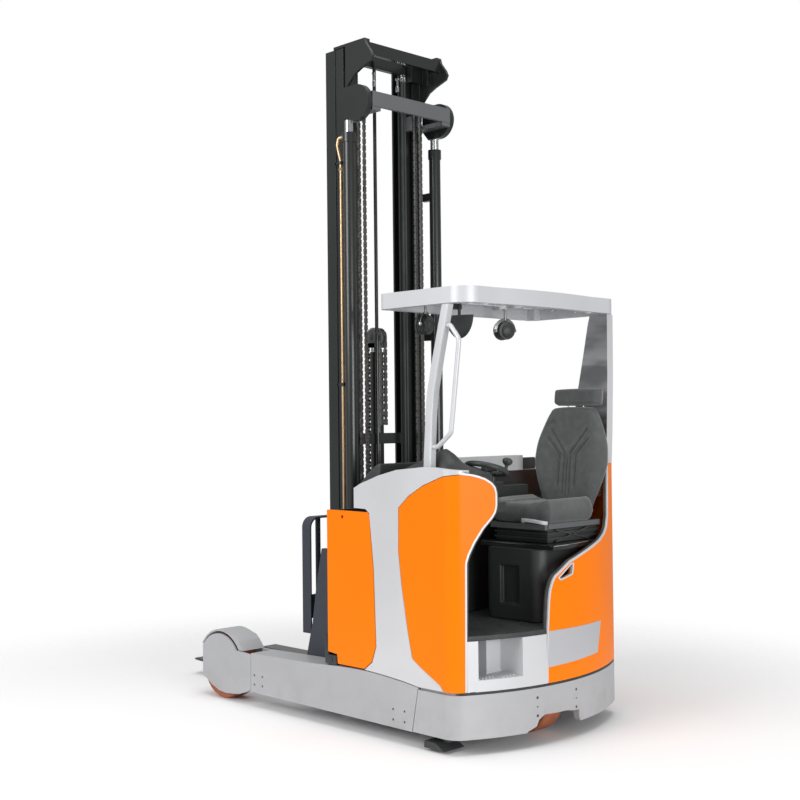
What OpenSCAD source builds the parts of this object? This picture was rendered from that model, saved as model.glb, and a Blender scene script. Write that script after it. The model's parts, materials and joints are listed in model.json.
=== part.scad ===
/* [Overall] */
// Width over the wheel arms
overall_width = 1270; // [1100:5:1400]
// Height of the overhead guard above the floor
guard_top = 2203; // [2050:1:2300]
// Lowered height of the mast columns
mast_top = 3620; // [2500:5:4200]
// Bulge of the rear skirt behind its corners
rear_bow = 130; // [60:1:160]
// Underside of the chassis above the floor
ground_gap = 76; // [50:1:100]

/* [Wheels] */
// Diameter of a load wheel
load_wheel_dia = 355; // [300:1:380]
// Tread width of a load wheel
load_wheel_wide = 118; // [90:1:130]
// Load wheel axle ahead of the rear corner
load_axle_y = 1876; // [1700:1:1950]
// Diameter of the drive wheel
drive_wheel_dia = 360; // [330:1:400]
// Tread width of the drive wheel
drive_wheel_wide = 130; // [110:1:150]
// Drive wheel sideways from the centre line
drive_wheel_x = 0; // [-100:1:100]
// Drive wheel ahead of the rear corner
drive_wheel_y = 135; // [120:1:200]
// Radius of the axle pins
pin_r = 20; // [12:1:30]
// Running gap of a bore over its pin
run_gap = 0.05; // [0.02:0.01:0.1]

/* [Mast] */
// Width over the outer mast columns
mast_wide = 620; // [560:2:760]
// Depth of one outer mast column
column_deep = 140; // [110:1:160]
// Front face of the mast with the reach drawn in
mast_front_y = 1280; // [1250:1:1320]
// Underside of the mast columns above the floor
mast_foot_z = 110; // [90:1:150]
// Side gap between nested mast stages
stage_gap = 6; // [5:0.5:8]

/* [Forks] */
// Blade length from the fork face to the tip
fork_long = 1150; // [800:10:1400]
// Blade width
fork_wide = 120; // [80:1:160]
// Blade thickness at the heel
fork_thick = 40; // [30:1:50]
// Width over both forks
fork_spread = 640; // [365:5:780]
// Fork face ahead of the rear corner
fork_face_y = 1415; // [1395:1:1450]
// Top of the blades above the floor
fork_top_z = 100; // [70:1:120]

/* [Hidden] */
half = overall_width / 2;
tip_y = fork_face_y + fork_long;
mid_y = (tip_y - rear_bow) / 2;
skirt_top = 283;
leg_wide = 160;
leg_in = half - leg_wide;
load_r = load_wheel_dia / 2;
drive_r = drive_wheel_dia / 2;
wheel_x = half - leg_wide / 2 - 2;
plate_t = 12;
mh = mast_wide / 2;
mf = mast_front_y;
rail_t = 14;
roller_gap = 22;
mid_h = mh - rail_t - roller_gap;
in_h = mid_h - rail_t - roller_gap;
flange = 80;
mast_back_y = mf - column_deep;
mid_y0 = mast_back_y + rail_t + stage_gap;
mid_y1 = mf - rail_t - stage_gap;
in_y0 = mid_y0 + 13 + stage_gap;
in_y1 = mid_y1 - 13 - stage_gap;
tilt_y = fork_face_y - fork_thick - 23;
tilt_z = 200;
free_y = 1220;
chain_x = mid_h - 54;
car_x = in_h - 86;
shank_back = fork_face_y - fork_thick;
free_top = 1960;
pulley_z = free_top + 80;
chain_y = 1090;
fork_x = fork_spread / 2 - fork_wide / 2;
fork_low = fork_top_z - fork_thick;
sheave_z = mast_top - 330;
bar_z0 = mast_top - 358;
bar_z1 = mast_top - 278;
cyl_x = mh + 24;
cyl_y = 1066;
bar_y = 910;
cyl_top = mast_top - 486;
cab_floor = 545;
panel_t = 24;
seat_gap = 0.3;
channel_z0 = 118;
channel_z1 = 262;
channel_deep = 70;
reach_roller_r = 66;
guard_low = guard_top - 78;

module place() { translate([0, -mid_y, 0]) children(); }
module box(x0, x1, y0, y1, z0, z1) { translate([x0, y0, z0]) cube([x1 - x0, y1 - y0, z1 - z0]); }
module both() { children(); mirror([1, 0, 0]) children(); }
module along_x(x0, x1) { translate([x0, 0, 0]) rotate([90, 0, 90]) linear_extrude(x1 - x0) children(); }
module along_y(y0, y1) { translate([0, y1, 0]) rotate([90, 0, 0]) linear_extrude(y1 - y0) children(); }
module rod_x(x0, x1, y, z, r) { translate([x0, y, z]) rotate([0, 90, 0]) cylinder(h = x1 - x0, r = r, $fn = 48); }
module rod_y(x, y0, y1, z, r) { translate([x, y0, z]) rotate([-90, 0, 0]) cylinder(h = y1 - y0, r = r, $fn = 48); }
module rod_z(x, y, z0, z1, r) { translate([x, y, z0]) cylinder(h = z1 - z0, r = r, $fn = 48); }

corner_r = 100;
rear_r = 1180;
bow_y = rear_r - rear_bow;
corner_x = half - corner_r;
corner_y = bow_y - sqrt(pow(rear_r - corner_r, 2) - pow(corner_x, 2));
turn = acos(corner_x / (rear_r - corner_r));
function arc(cx, cy, r, a0, a1, n) = [for (i = [0 : n]) let (a = a0 + (a1 - a0) * i / n) [cx + r * cos(a), cy + r * sin(a)]];
module rear_plan(inset) {
  polygon(concat([[-half + inset, 560 - inset]],
    arc(-corner_x, corner_y, corner_r - inset, 180, 180 + turn, 8),
    arc(0, bow_y, rear_r - inset, 180 + turn + 2, 358 - turn, 26),
    arc(corner_x, corner_y, corner_r - inset, 360 - turn, 360, 8),
    [[half - inset, 560 - inset]]));
}

module chassis() { color([0.7, 0.7, 0.71]) place() {
  difference() {
    union() {
      translate([0, 0, ground_gap]) linear_extrude(skirt_top - ground_gap) rear_plan(0);
      translate([0, 0, skirt_top - 1]) linear_extrude(13.7) rear_plan(18);
    }
    translate([0, 0, ground_gap - 1]) linear_extrude(skirt_top - ground_gap - 17) difference() {
      rear_plan(36);
      translate([-half, 256]) square([leg_wide + 24, 400]);
      translate([half - leg_wide - 24, 256]) square([leg_wide + 24, 400]);
    }
    translate([drive_wheel_x, drive_wheel_y, 0]) cylinder(h = 400, r = 205, $fn = 64);
    along_y(-200, 40) polygon([[-280, 60], [-276, 82], [-224, 100], [-209, 130], [-172, 150], [-90, 147], [-20, 146],
      [30, 137], [82, 133], [82, 96], [94, 80], [94, 60]]);
    for (x = [-217, 59]) {
      for (z = [150, 236]) rod_y(x, -150, 0, z, 7);
      rod_y(x, -150, 0, (150 + 236) / 2, 4.5);
    }
    both() translate([-half, 281, skirt_top]) rotate([11, 0, 0]) box(-60, leg_wide + 0.3, 0, 400, -300, 100);
  }
  box(-leg_in + 1.3, leg_in - 1.3, 545, 559, skirt_top - 12, 330);
  box(-half + 55, half - 55, 545, 560, 318 + seat_gap, 1225);
  box(-leg_in + 2, leg_in - 2, 521, 558, 120, skirt_top - 10);
  difference() {
    box(drive_wheel_x - 235, drive_wheel_x + 235, -64, 345, 428, 440);
    translate([drive_wheel_x, drive_wheel_y, 420]) cylinder(h = 30, r = 101, $fn = 64);
  }
  for (x = [-235, 200], y = [-64, 310]) box(drive_wheel_x + x, drive_wheel_x + x + 35, y, y + 35, skirt_top, 432);
} }

module wheel_arm() { 
  difference() {
    union() {
      along_x(-half, -leg_in) polygon([[283, 292], [326, 74], [1440, 80], [1583, 82], [1583, 293], [1327, 300],
        [1062, 307], [865, 318], [760, 321], [646, 322], [560, 318], [474, 312], [380, 304]]);
      along_x(-leg_in - 14, -leg_in) polygon([[1575, 88], [2000, 130], [2000, 250], [1950, 291.7], [1575, 291.7]]);
    }
    box(-leg_in - channel_deep, -leg_in + 1, 634, 1572, channel_z0, channel_z1);
    for (y = [1483, 1553]) for (z = [125, 176]) rod_x(-half - 1, -half + 40, y, z, 6);
    for (y = [376, 455]) for (z = [113, 164]) rod_x(-half - 1, -half + 40, y, z, 6);
  }
  rod_x(-leg_in - 14, -leg_in + 6, load_axle_y, load_r, 34);
}
module wheel_arm_left() { color([0.67, 0.67, 0.68]) place() wheel_arm(); }
module wheel_arm_right() { color([0.67, 0.67, 0.68]) place() mirror([1, 0, 0]) wheel_arm(); }

module arm_guard() {
  difference() {
    union() {
      along_x(-half, -half + plate_t) difference() {
        union() {
          translate([load_axle_y, load_r]) circle(r = 190, $fn = 96);
          polygon([[1586, 284], [1586, 100], [1606, 80], [1698, 51], [1810, 40], [1880, 46], [1948, 71], [2035, 118],
            [2035, 290], [1700, 290]]);
        }
        polygon([[1500, -300], [1500, 100], [1586, 100], [1606, 80], [1698, 51], [1810, 40], [1880, 46], [1948, 71],
          [2100, 153], [2100, -300]]);
        translate([2035, -300]) square([200, 900]);
      }
      difference() {
        along_x(-half + plate_t - 2, -leg_in) polygon(concat(arc(load_axle_y, load_r, 213, 10, 104, 20),
          [[1738, 362], [1706, 337], [1668, 293], [1668, 280], [2080, 280]]));
        rod_x(-half, -leg_in + 10, load_axle_y, load_r, 203);
        box(-half - 10, -leg_in + 10, 1500, 2200, -100, 292);
      }
      box(-half + 2, -half + 30, 1583.3, 1594, 84, 283);
      rod_x(-half + 2, -half + plate_t + 8, load_axle_y, load_r, 34);
      rod_x(-half + plate_t, -leg_in - 14, load_axle_y, load_r, pin_r);
    }
  }
}
module arm_guard_left() { color([0.67, 0.67, 0.68]) place() arm_guard(); }
module arm_guard_right() { color([0.67, 0.67, 0.68]) place() mirror([1, 0, 0]) arm_guard(); }

module stabiliser_pad() { color([0.16, 0.16, 0.17]) place() {
  difference() {
    box(-half + 6, -half + 146, 118, 250, 14, 46);
    translate([-half - 20, 118, 14]) rotate([-62, 0, 0]) box(0, 200, -60, 0, -60, 120);
  }
  rod_z(-half + 92, 178, 40, 95, 30);
  box(-half + 36 + seat_gap, -505, corner_y + 1, 230, 90, skirt_top - 18);
} }

module side_outline() {
  polygon([[725, 327], [725, 1232], [677, 1255], [545, 1299], [419, 1329], [235, 1347], [159, 1346], [90, 1340],
    [-8, 1329], [-200, 1329], [-200, 296], [281, 296], [380, 309], [474, 317], [560, 323], [646, 327]]);
}
module shell_plan(inset, cut) {
  difference() {
    union() {
      rear_plan(inset);
      translate([-half + inset, 300]) square([400, 426]);
    }
    translate([cut, -300]) square([1300, 1300]);
  }
}
module left_shell(x_end) {
  difference() {
    intersection() {
      translate([0, 0, 290]) linear_extrude(1100) difference() {
        shell_plan(0, x_end);
        shell_plan(panel_t, x_end + 100);
      }
      along_x(-half - 5, 0) side_outline();
    }
    children();
  }
}
module split_line() {
  polygon([[725, 1132], [640, 1130], [612, 1110], [600, 1000], [582, 835], [569, 451], [600, 370], [660, 325],
    [648, 290], [110, 290], [135, 322], [266, 391], [320, 426], [350, 560], [387, 763], [408, 934], [405, 1146],
    [335, 1206], [236, 1260], [107, 1306], [26, 1316], [26, 1500], [900, 1500], [900, 1132]]);
}
module side_panel() { color([0.8, 0.8, 0.82]) place() intersection() {
  left_shell(-half + 195);
  along_x(-half - 5, 0) split_line();
} }
module corner_panel() { color([1, 0.52, 0]) place() difference() {
  left_shell(-half + 206);
  along_x(-half - 5, 0) polygon([[800, 200], [60, 200], [107, 290], [132, 322], [264, 392], [317, 428], [347, 561], [384, 764],
    [405, 935], [402, 1144], [333, 1203], [235, 1257], [106, 1303], [24, 1313], [24, 1600], [800, 1600]]);
  along_y(-200, 93) translate([-half, 0]) polygon([[260, 200], [57, 200], [62, 900], [74, 940], [99, 995],
    [140, 1061], [182, 1108], [199, 1135], [205, 1165], [205, 1220], [199, 1248], [182, 1270], [152, 1290],
    [118, 1303], [89, 1311], [40, 1318], [40, 1500], [260, 1500]]);
} }

module rear_panel() { color([1, 0.52, 0]) place() {
  difference() {
    union() {
      intersection() {
        translate([0, 0, 296]) linear_extrude(1100) difference() {
          rear_plan(0);
          rear_plan(26);
        }
        along_y(-200, 470) polygon([[-152, 290], [-146, 534], [-134, 690], [-126, 738], [-112, 775], [-92, 803],
          [24, 868], [151, 902], [half - 304, 947], [half - 235, 975], [half - 194, 1006], [half - 170, 1060],
          [half - 159, 1330], [half + 5, 1330], [half + 5, 290]]);
      }
    }
    along_y(-200, 0) polygon([[-66, 796], [-50, 785], [40, 805], [52, 858], [30, 856]]);
    along_y(-200, 0) polygon([[-170, 371.7], [-170, 546.3], [324.5, 540.3], [276.4, 383.7]]);
    box(leg_in - 5, half + 5, 281, 480, 280, 320);
  }
} }
module name_plate_blank() { color([0.86, 0.86, 0.87]) place() {
  difference() {
    intersection() {
      translate([0, 0, 360]) linear_extrude(200) difference() {
        rear_plan(-2);
        rear_plan(24);
      }
      along_y(-200, 0) polygon([[-160, 372], [-160, 546], [324, 540], [276, 384]]);
    }
    box(-200, -143, -200, 0, 200, 700);
  }
} }

module step_panel() { color([0.8, 0.8, 0.82]) place() {
  difference() {
    translate([0, 0, 296]) linear_extrude(cab_floor - 308) intersection() {
      rear_plan(0);
      translate([-half + 63, -200]) square([half - 217.3, 420]);
    }
    box(-523, -300, -300, 50, 350, 700);
    box(-523, -402, 40, 175, 350, 700);
    box(-half + 75, -100, 0, 300, 200, 340);
    box(-285, -60, -78, 300, 310, 700);
    box(-390, -280, 70, 300, 310, 700);
    box(drive_wheel_x - 240, -60, -68, 300, 290, 700);
    translate([drive_wheel_x, drive_wheel_y, 0]) cylinder(h = 700, r = 205, $fn = 64);
  }
  for (x = [-516 : 24 : -310]) box(x, x + 9, (x < -410 ? -2 : -50), 44, 349, 356);
} }

module right_shell() { color([0.8, 0.8, 0.82]) place() {
  difference() {
    along_x(half - panel_t, half) polygon([[475, 322], [560, 325], [646, 327], [725, 327], [725, 1232], [677, 1255],
      [545, 1299], [475, 1315]]);
    box(600, 640, 584, 800, 200, 1120);
  }
  box(half - 20, half, 590, 935, 375, 1114);
} }

module battery() { color([0.14, 0.14, 0.15]) place() {
  box(-half + 29, half - 27, 600, 925, 322 + seat_gap, 1085);
  for (x = [-500 : 125 : 500]) for (y = [680, 840]) rod_z(x, y, 1080, 1102, 22);
} }
module battery_cover() { color([1, 0.52, 0]) place() difference() {
  along_x(-half, -half + 20) polygon([[935, 1114], [628, 1114], [612, 1100], [606, 1000], [588, 835], [575, 451],
    [606, 374], [661, 330], [860, 330], [866, 378], [935, 384]]);
  rod_x(-half - 1, -half + 12, 815, 1083, 9);
} }
module battery_bracket() { color([0.12, 0.12, 0.13]) place() {
  both() box(-half + 4, -half + 27 - seat_gap, 872, 962, 320, 370);
  both() box(-half + 4, -half + 55, 935.3, 962, 320, 470);
  box(-half + 45, half - 45, 935.3, 945, 330, 1110);
  both() rod_x(-half + 2, -half + 26, 918, 344, 14);
} }

module hood() { color([0.1, 0.1, 0.11]) place() {
  difference() {
    along_x(-half + panel_t + seat_gap, half - panel_t - seat_gap) polygon([[562, 1120], [722, 1120], [722, 1228], [700, 1262], [650, 1310], [590, 1350],
      [562, 1360]]);
    along_x(-half + 75, half - 65) polygon([[575, 1100], [700, 1100], [700, 1215], [640, 1290], [575, 1325]]);
  }
} }
module dash() { color([0.09, 0.09, 0.1]) place() {
  difference() {
    along_x(-half + 39, -375) polygon([[72, 1180], [72, 1312], [160, 1332], [235, 1334], [419, 1318], [544.7, 1302],
      [544.7, 1120], [380, 1100]]);
    along_x(-half + 55, -395) polygon([[84, 1100], [84, 1284], [160, 1306], [235, 1308], [419, 1290], [525, 1275],
      [525, 1050]]);
  }
  box(-376, -225, 70, 250, 1120, 1165);
  box(-half + panel_t + seat_gap, -half + 39, 140, 544, 560, 1300);
} }
module side_console() { color([0.72, 0.72, 0.73]) place() {
  box(-300, 420, 500, 561.7, 1290, 1372);
  box(-300, half - 35, 520, 544.7, cab_floor + 15, 1292);
} }
module floor_mat() { color([0.1, 0.1, 0.1]) place() {
  translate([0, 0, cab_floor - 12 + 0.3]) linear_extrude(23.7) {
    intersection() {
      rear_plan(4);
      translate([-half + 60.5, -200]) square([half - 214.8, 744]);
    }
    intersection() {
      rear_plan(26.3);
      translate([-155, -200]) square([half + 89, 744]);
    }
    translate([-half + 31, 130]) square([30, 414]);
  }
} }

module seat_pedestal() { color([0.09, 0.09, 0.1]) place() {
  difference() {
    translate([0, 0, cab_floor + 12.3]) linear_extrude(912.4 - cab_floor) polygon(concat([[400, -10]],
      arc(5, 60, 70, 270, 180, 8), arc(-5, 305, 60, 180, 90, 6), [[400, 365]]));
    box(-80, -40, 130, 250, 640, 830);
    box(0, 370, 20, 330, 500, 900);
  }
} }
module seat_plate() { color([0.3, 0.3, 0.31]) place() {
  box(-60, 455, -5, 385, 925, 948);
} }
module seat_suspension() { color([0.08, 0.08, 0.08]) place() {
  box(20, 420, 10, 330, 948.3, 1015);
  box(0, 440, -8, 340, 1015, 1044.7);
} }
module seat_cushion() { color([0.26, 0.27, 0.27]) place() {
  difference() {
    box(-5, 355, -35, 385, 1045, 1155);
    translate([175, 175, 1765]) rotate([0, 90, 0]) cylinder(h = 600, r = 630, center = true, $fn = 96);
  }
} }
module lean() { translate([362, 175, 1060]) rotate([0, 7, 0]) children(); }
module seat_back() { color([0.26, 0.27, 0.27]) place() lean() difference() {
  along_x(0, 76) polygon([[-120, -5.8], [120, -5.8], [165, 100], [206, 190], [228, 260], [232, 310], [222, 390], [190, 475],
    [150, 555], [115, 575], [-115, 575], [-150, 555], [-190, 475], [-222, 390], [-232, 310], [-228, 260], [-206, 190],
    [-165, 100]]);
  translate([-608, 0, 0]) cylinder(h = 1400, r = 626, center = true, $fn = 96);
} }
module head_rest() { color([0.26, 0.27, 0.27]) place() lean() {
  box(8, 82, -140, 108, 592, 665);
  for (y = [-52, 52]) rod_z(48, y, 575.3, 600, 6);
} }
module arm_console() { color([0.1, 0.1, 0.11]) place() {
  box(60, 340, 396, 490, 1160, 1220);
  box(180, 300, 410, 480, 984, 1165);
  box(180, 300, 345, 480, 948.3, 985);
  box(60, 150, 405, 490, 1215, 1240);
  rod_z(110, 448, 1235, 1300, 14);
  translate([110, 448, 1300]) sphere(r = 24, $fn = 32);
} }

col_x = -285;
col_y = 140;
col_z = 1322;
module tilt_wheel() { translate([col_x, col_y, col_z]) rotate([0, 18, 0]) children(); }
module steering_column() { color([0.12, 0.12, 0.13]) place() {
  box(-356, -296, 108, 172, 1165.3, 1200);
  tilt_wheel() {
  translate([0, 0, -140]) cylinder(h = 118, r = 34, $fn = 40);
  translate([0, 0, -30]) cylinder(h = 40, r = 9, $fn = 32);
  }
} }
module steering_wheel() { color([0.07, 0.07, 0.07]) place() tilt_wheel() difference() {
  union() {
    rotate_extrude($fn = 64) translate([90, 8]) circle(r = 12, $fn = 20);
    translate([0, 0, -8]) cylinder(h = 26, r = 34, $fn = 40);
    for (a = [30, 150, 270]) rotate([0, 0, a]) translate([25, -14, -3]) cube([64, 28, 10]);
    rotate([0, 0, 60]) translate([90, 0, 8]) cylinder(h = 34, r = 7, $fn = 24);
    rotate([0, 0, 60]) translate([90, 0, 52]) sphere(r = 23, $fn = 32);
  }
  translate([0, 0, -20]) cylinder(h = 31, r = 9 + run_gap, $fn = 32);
} }

roof_x0 = -half + 50;
roof_x1 = half - 10;
module roof_plan(inset) {
  difference() {
    union() {
      translate([roof_x0 + inset, 90]) square([roof_x1 - roof_x0 - 2 * inset, 452 - inset]);
      translate([roof_x0 + 90, -8 + inset]) square([roof_x1 - roof_x0 - 180, 600 - 2 * inset]);
      for (x = [roof_x0 + 100, roof_x1 - 100]) translate([x, 92]) circle(r = 100 - inset, $fn = 48);
      for (x = [roof_x0 + 50, roof_x1 - 50]) translate([x, 542]) circle(r = 50 - inset, $fn = 32);
      intersection() {
        translate([0, 2300]) circle(r = 2338 - inset, $fn = 256);
        translate([roof_x0 + 85, -60]) square([roof_x1 - roof_x0 - 170, 200]);
      }
    }
  }
}
module guard_roof() { color([0.88, 0.88, 0.9]) place() {
  difference() {
    translate([0, 0, guard_low]) linear_extrude(guard_top - guard_low) roof_plan(0);
    translate([0, 0, guard_low - 1]) linear_extrude(56) roof_plan(40);
    box(-430, 470, 120, 170, 2000, 2300);
    box(-430, 470, 230, 280, 2000, 2300);
    box(-430, 470, 340, 390, 2000, 2300);
    box(-430, 470, 450, 500, 2000, 2300);
  }
  for (x = [-200, 250]) box(x - 14, x + 14, 60, 552, guard_top - 40, guard_top - 4);
} }
module front_pillar() { color([0.8, 0.8, 0.82]) place() {
  along_x(-half + 52, -half + 96) polygon([[236, 1334.4], [234, 1400], [230, 1480], [222, 1600], [210, 1700], [172, 1863],
    [138, 2000], [106, guard_low - 0.3], [150, guard_low - 0.3], [182, 2000], [218, 1863], [255, 1700], [266, 1600],
    [275, 1480], [281, 1400], [284, 1330.3]]);
} }
module rear_pillar() { color([0.72, 0.72, 0.73]) place() {
  difference() {
    along_x(half - 64, half - 13) polygon([[50, 1330.3], [42, 1500], [34, 1800], [32, guard_low - 0.3],
      [146, guard_low - 0.3], [160, 2075], [194, 1903], [231, 1728], [275, 1500], [310, 1330.3]]);
    along_x(half - 54, half - 23) polygon([[60, 1300], [52, 1500], [44, 1800], [42, 2115], [136, 2115], [150, 2073],
      [184, 1901], [221, 1726], [265, 1498], [300, 1328], [300, 1300]]);
  }
  difference() {
    box(half - 64, half - 26 - seat_gap, corner_y + 1, 310, 1150, 1340);
    box(half - 54, half - 35, corner_y + 11, 300, 1140, 1350);
  }
} }
module tube(a, b, r) {
  d = b - a;
  translate(a) rotate([0, acos(d[2] / norm(d)), atan2(d[1], d[0])]) cylinder(h = norm(d), r = r, $fn = 32);
}
module grab_handle() { color([0.8, 0.8, 0.82]) place() translate([-half + 74, 0, 0]) {
  rod_y(0, 106, 129.5, 2017, 12);
  tube([0, 116, 2023], [0, 55, 1949], 12);
  tube([0, 56, 1958], [0, 117, 1503], 12);
  tube([0, 111, 1512], [0, 208, 1437], 12);
  rod_y(0, 200, 231, 1442, 12);
} }

module lamp(x, y, turn) {
  translate([x, y, guard_low - 82]) rotate([0, 0, turn]) rotate([-84, 0, 0]) {
    translate([0, 0, -34]) cylinder(h = 56, r1 = 34, r2 = 49, $fn = 48);
    translate([0, 0, 20]) cylinder(h = 14, r = 53, $fn = 48);
  }
  rod_z(x, y, guard_low - 60, guard_low + 34, 9);
  box(x - 16, x + 16, y - 16, y + 16, guard_low + 10, guard_low + 54.7);
}
module work_lights() { color([0.08, 0.08, 0.08]) place() {
  lamp(-462, 374, 20);
  lamp(180, 410, -20);
} }
module mirror_body() {
  translate([-200, 384, guard_low - 26]) rotate([0, 0, -12]) intersection() {
    translate([83, 0, 3.3]) sphere(r = 144, $fn = 64);
    box(-70, 0, -140, 140, -140, 0);
  }
}
module mirror_unit() { color([0.07, 0.07, 0.07]) place() {
  mirror_body();
  rod_z(-205, 384, guard_low - 60, guard_low + 20, 8);
  box(-222, -178, 391, 421, guard_low + 10, guard_top - 40 - seat_gap);
  box(-213, -197, 376, 400, guard_low + 10, guard_low + 30);
} }

module drive_unit() { color([0.2, 0.2, 0.21]) place() translate([drive_wheel_x, drive_wheel_y, 0]) {
  translate([0, 0, drive_wheel_dia + 16]) cylinder(h = 51.7, r = 125, $fn = 48);
  translate([0, 0, drive_wheel_dia + 60]) cylinder(h = 80, r = 96, $fn = 48);
  box(72, 108, -60, 60, 96, drive_wheel_dia + 20);
  translate([78, 0, drive_r]) rotate([0, 90, 0]) cylinder(h = 36, r = 88, $fn = 48);
  translate([-56, 0, drive_r]) rotate([0, 90, 0]) cylinder(h = 140, r = pin_r, $fn = 48);
} }
module drive_tyre() { color([0.5, 0.24, 0.14]) place() translate([drive_wheel_x, drive_wheel_y, drive_r])
  rotate([0, 90, 0]) rotate_extrude($fn = 96) polygon([[140, -drive_wheel_wide / 2], [drive_r - 6, -drive_wheel_wide / 2],
    [drive_r, -drive_wheel_wide / 2 + 8], [drive_r, drive_wheel_wide / 2 - 8], [drive_r - 6, drive_wheel_wide / 2],
    [140, drive_wheel_wide / 2]]); }
module drive_hub() { color([0.3, 0.3, 0.31]) place() translate([drive_wheel_x, drive_wheel_y, drive_r])
  rotate([0, 90, 0]) rotate_extrude($fn = 96) polygon([[pin_r + run_gap, -52], [60, -52], [70, -20], [122, -20],
    [126, -62], [140, -62], [140, 62], [126, 62], [122, 30], [70, 30], [60, 50], [pin_r + run_gap, 50]]); }

module load_tyre(s) { translate([s * wheel_x, load_axle_y, load_r]) rotate([0, 90, 0])
  rotate_extrude($fn = 96) polygon([[138, -load_wheel_wide / 2], [load_r - 6, -load_wheel_wide / 2],
    [load_r, -load_wheel_wide / 2 + 8], [load_r, load_wheel_wide / 2 - 8], [load_r - 6, load_wheel_wide / 2],
    [138, load_wheel_wide / 2]]); }
module load_hub(s) { translate([s * wheel_x, load_axle_y, load_r]) rotate([0, 90, 0])
  rotate_extrude($fn = 96) polygon([[pin_r + run_gap, -52], [58, -52], [66, -20], [122, -20], [126, -56], [138, -56],
    [138, 56], [126, 56], [122, 20], [66, 20], [58, 52], [pin_r + run_gap, 52]]); }
module load_tyre_left() { color([0.5, 0.24, 0.14]) place() load_tyre(-1); }
module load_tyre_right() { color([0.5, 0.24, 0.14]) place() load_tyre(1); }
module load_hub_left() { color([0.3, 0.3, 0.31]) place() load_hub(-1); }
module load_hub_right() { color([0.3, 0.3, 0.31]) place() load_hub(1); }

module reach_carriage() { color([0.22, 0.24, 0.28]) place() {
  both() {
    along_x(-leg_in + 6, -leg_in + 34) polygon([[650, 130], [1300, 120], [1300, 300], [1250, 480], [1215, 690],
      [1170, 885], [1130, 885], [1060, 520], [965, 300], [650, 270]]);
    for (y = [705, 1000]) rod_x(-leg_in - 50, -leg_in + 7, y, channel_z0 + reach_roller_r + seat_gap, reach_roller_r);
    box(-leg_in + 30, -mh + 5 - seat_gap, 1106, 1190, 130, 310);
    box(-leg_in + 30, -mh + 5 - seat_gap, 1142, 1190, 720, 860);
  }
  box(-leg_in + 30, leg_in - 30, 1106, 1120, 120, 320);
} }

module c_rail(hw, w, y0, y1, z0, z1, f) {
  difference() {
    box(-hw, -hw + w, y0, y1, z0, z1);
    box(-hw + rail_t, -hw + w + 1, y0 + f, y1 - f, z0 - 1, z1 + 1);
  }
}
module outer_mast() { color([0.14, 0.15, 0.15]) place() {
  both() difference() {
    c_rail(mh, flange, mast_back_y, mf, mast_foot_z, mast_top, rail_t);
    box(-mh - 1, -mh + 5, mast_back_y - 1, 1204, mast_foot_z - 1, mast_top + 1);
  }
  box(-mh + flange - 5, mh - flange + 5, mast_back_y, mid_y0 - 6, 90, mast_foot_z + 9.7);
  for (z = [480, 790]) {
    box(-mh + 12, mh - 12, 1036, 1054, z, z + 60);
    both() box(-mh + 12, -mh + 26, 1052, mast_back_y + 1, z, z + 60);
  }
} }
module lift_cylinders() { color([0.1, 0.1, 0.1]) place() {
  both() {
    difference() {
      union() {
        rod_z(-cyl_x, cyl_y, 150, cyl_top - 50, 33);
        rod_z(-cyl_x, cyl_y, cyl_top - 52, cyl_top, 38);
        for (z = [330, 1180, 2030, 2840]) box(-cyl_x + 6, -cyl_x + 36, cyl_y + 14, mast_back_y - seat_gap, z, z + 44);
        box(-cyl_x - 16, -cyl_x + 16, cyl_y + 14, 1105.7, 150, 200);
      }
      rod_z(-cyl_x, cyl_y, 205, cyl_top + 1, 24 + run_gap);
    }
  }
} }
pipe_x = -mh - 37;
pipe_y = 1120;
module mast_pipe() { color([0.85, 0.7, 0.5]) place() {
  rod_z(pipe_x, pipe_y, 420, cyl_top - 24, 9);
  box(pipe_x - 12, pipe_x + 12, pipe_y - 12, pipe_y + 12, cyl_top - 36, cyl_top - 10);
  rod_y(pipe_x, cyl_y + 38.1, pipe_y, cyl_top - 23, 9);
  for (z = [700, 1760, cyl_top - 166]) {
    rod_z(pipe_x, pipe_y, z, z + 18, 13);
    box(pipe_x - 5, pipe_x + 5, pipe_y, 1166, z, z + 18);
    box(pipe_x - 5, -mh + 5 - seat_gap, 1156, 1166, z, z + 18);
  }
} }

beam_x = mid_h + 26;
web_x = mid_h - 78;
beam_z = mast_top - 60;
module middle_mast() { color([0.12, 0.13, 0.13]) place() {
  both() c_rail(mid_h, flange, mid_y0, mid_y1, mast_foot_z + 20, mast_top + 12, 13);
  box(-beam_x, beam_x, 972, 1000, beam_z, mast_top + 6);
  both() {
    along_x(-beam_x, -beam_x + 16) polygon([[972, mast_top + 22], [962, mast_top - 10], [925, beam_z + 2],
      [912, beam_z - 26], [926, beam_z - 52], [1010, beam_z - 80], [1060, beam_z - 102], [1100, beam_z - 140],
      [1130, beam_z - 165], [1130, mast_top + 22]]);
    box(-beam_x, -web_x, 1110, 1130, beam_z - 40, mast_top + 22);
    box(-web_x - 26, -web_x, 1128, mid_y0 + 1, beam_z - 40, mast_top + 12);
    box(-beam_x, -beam_x + 40, 972, 1225, mast_top + 6, mast_top + 22);
    box(-beam_x + 14, -beam_x + 40, 1040, 1052, beam_z - 60, mast_top + 8);
  }
  box(-web_x, web_x, mid_y0 - 20, mid_y0 + 5, mast_foot_z + 10, mast_foot_z + 39.7);
} }
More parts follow.
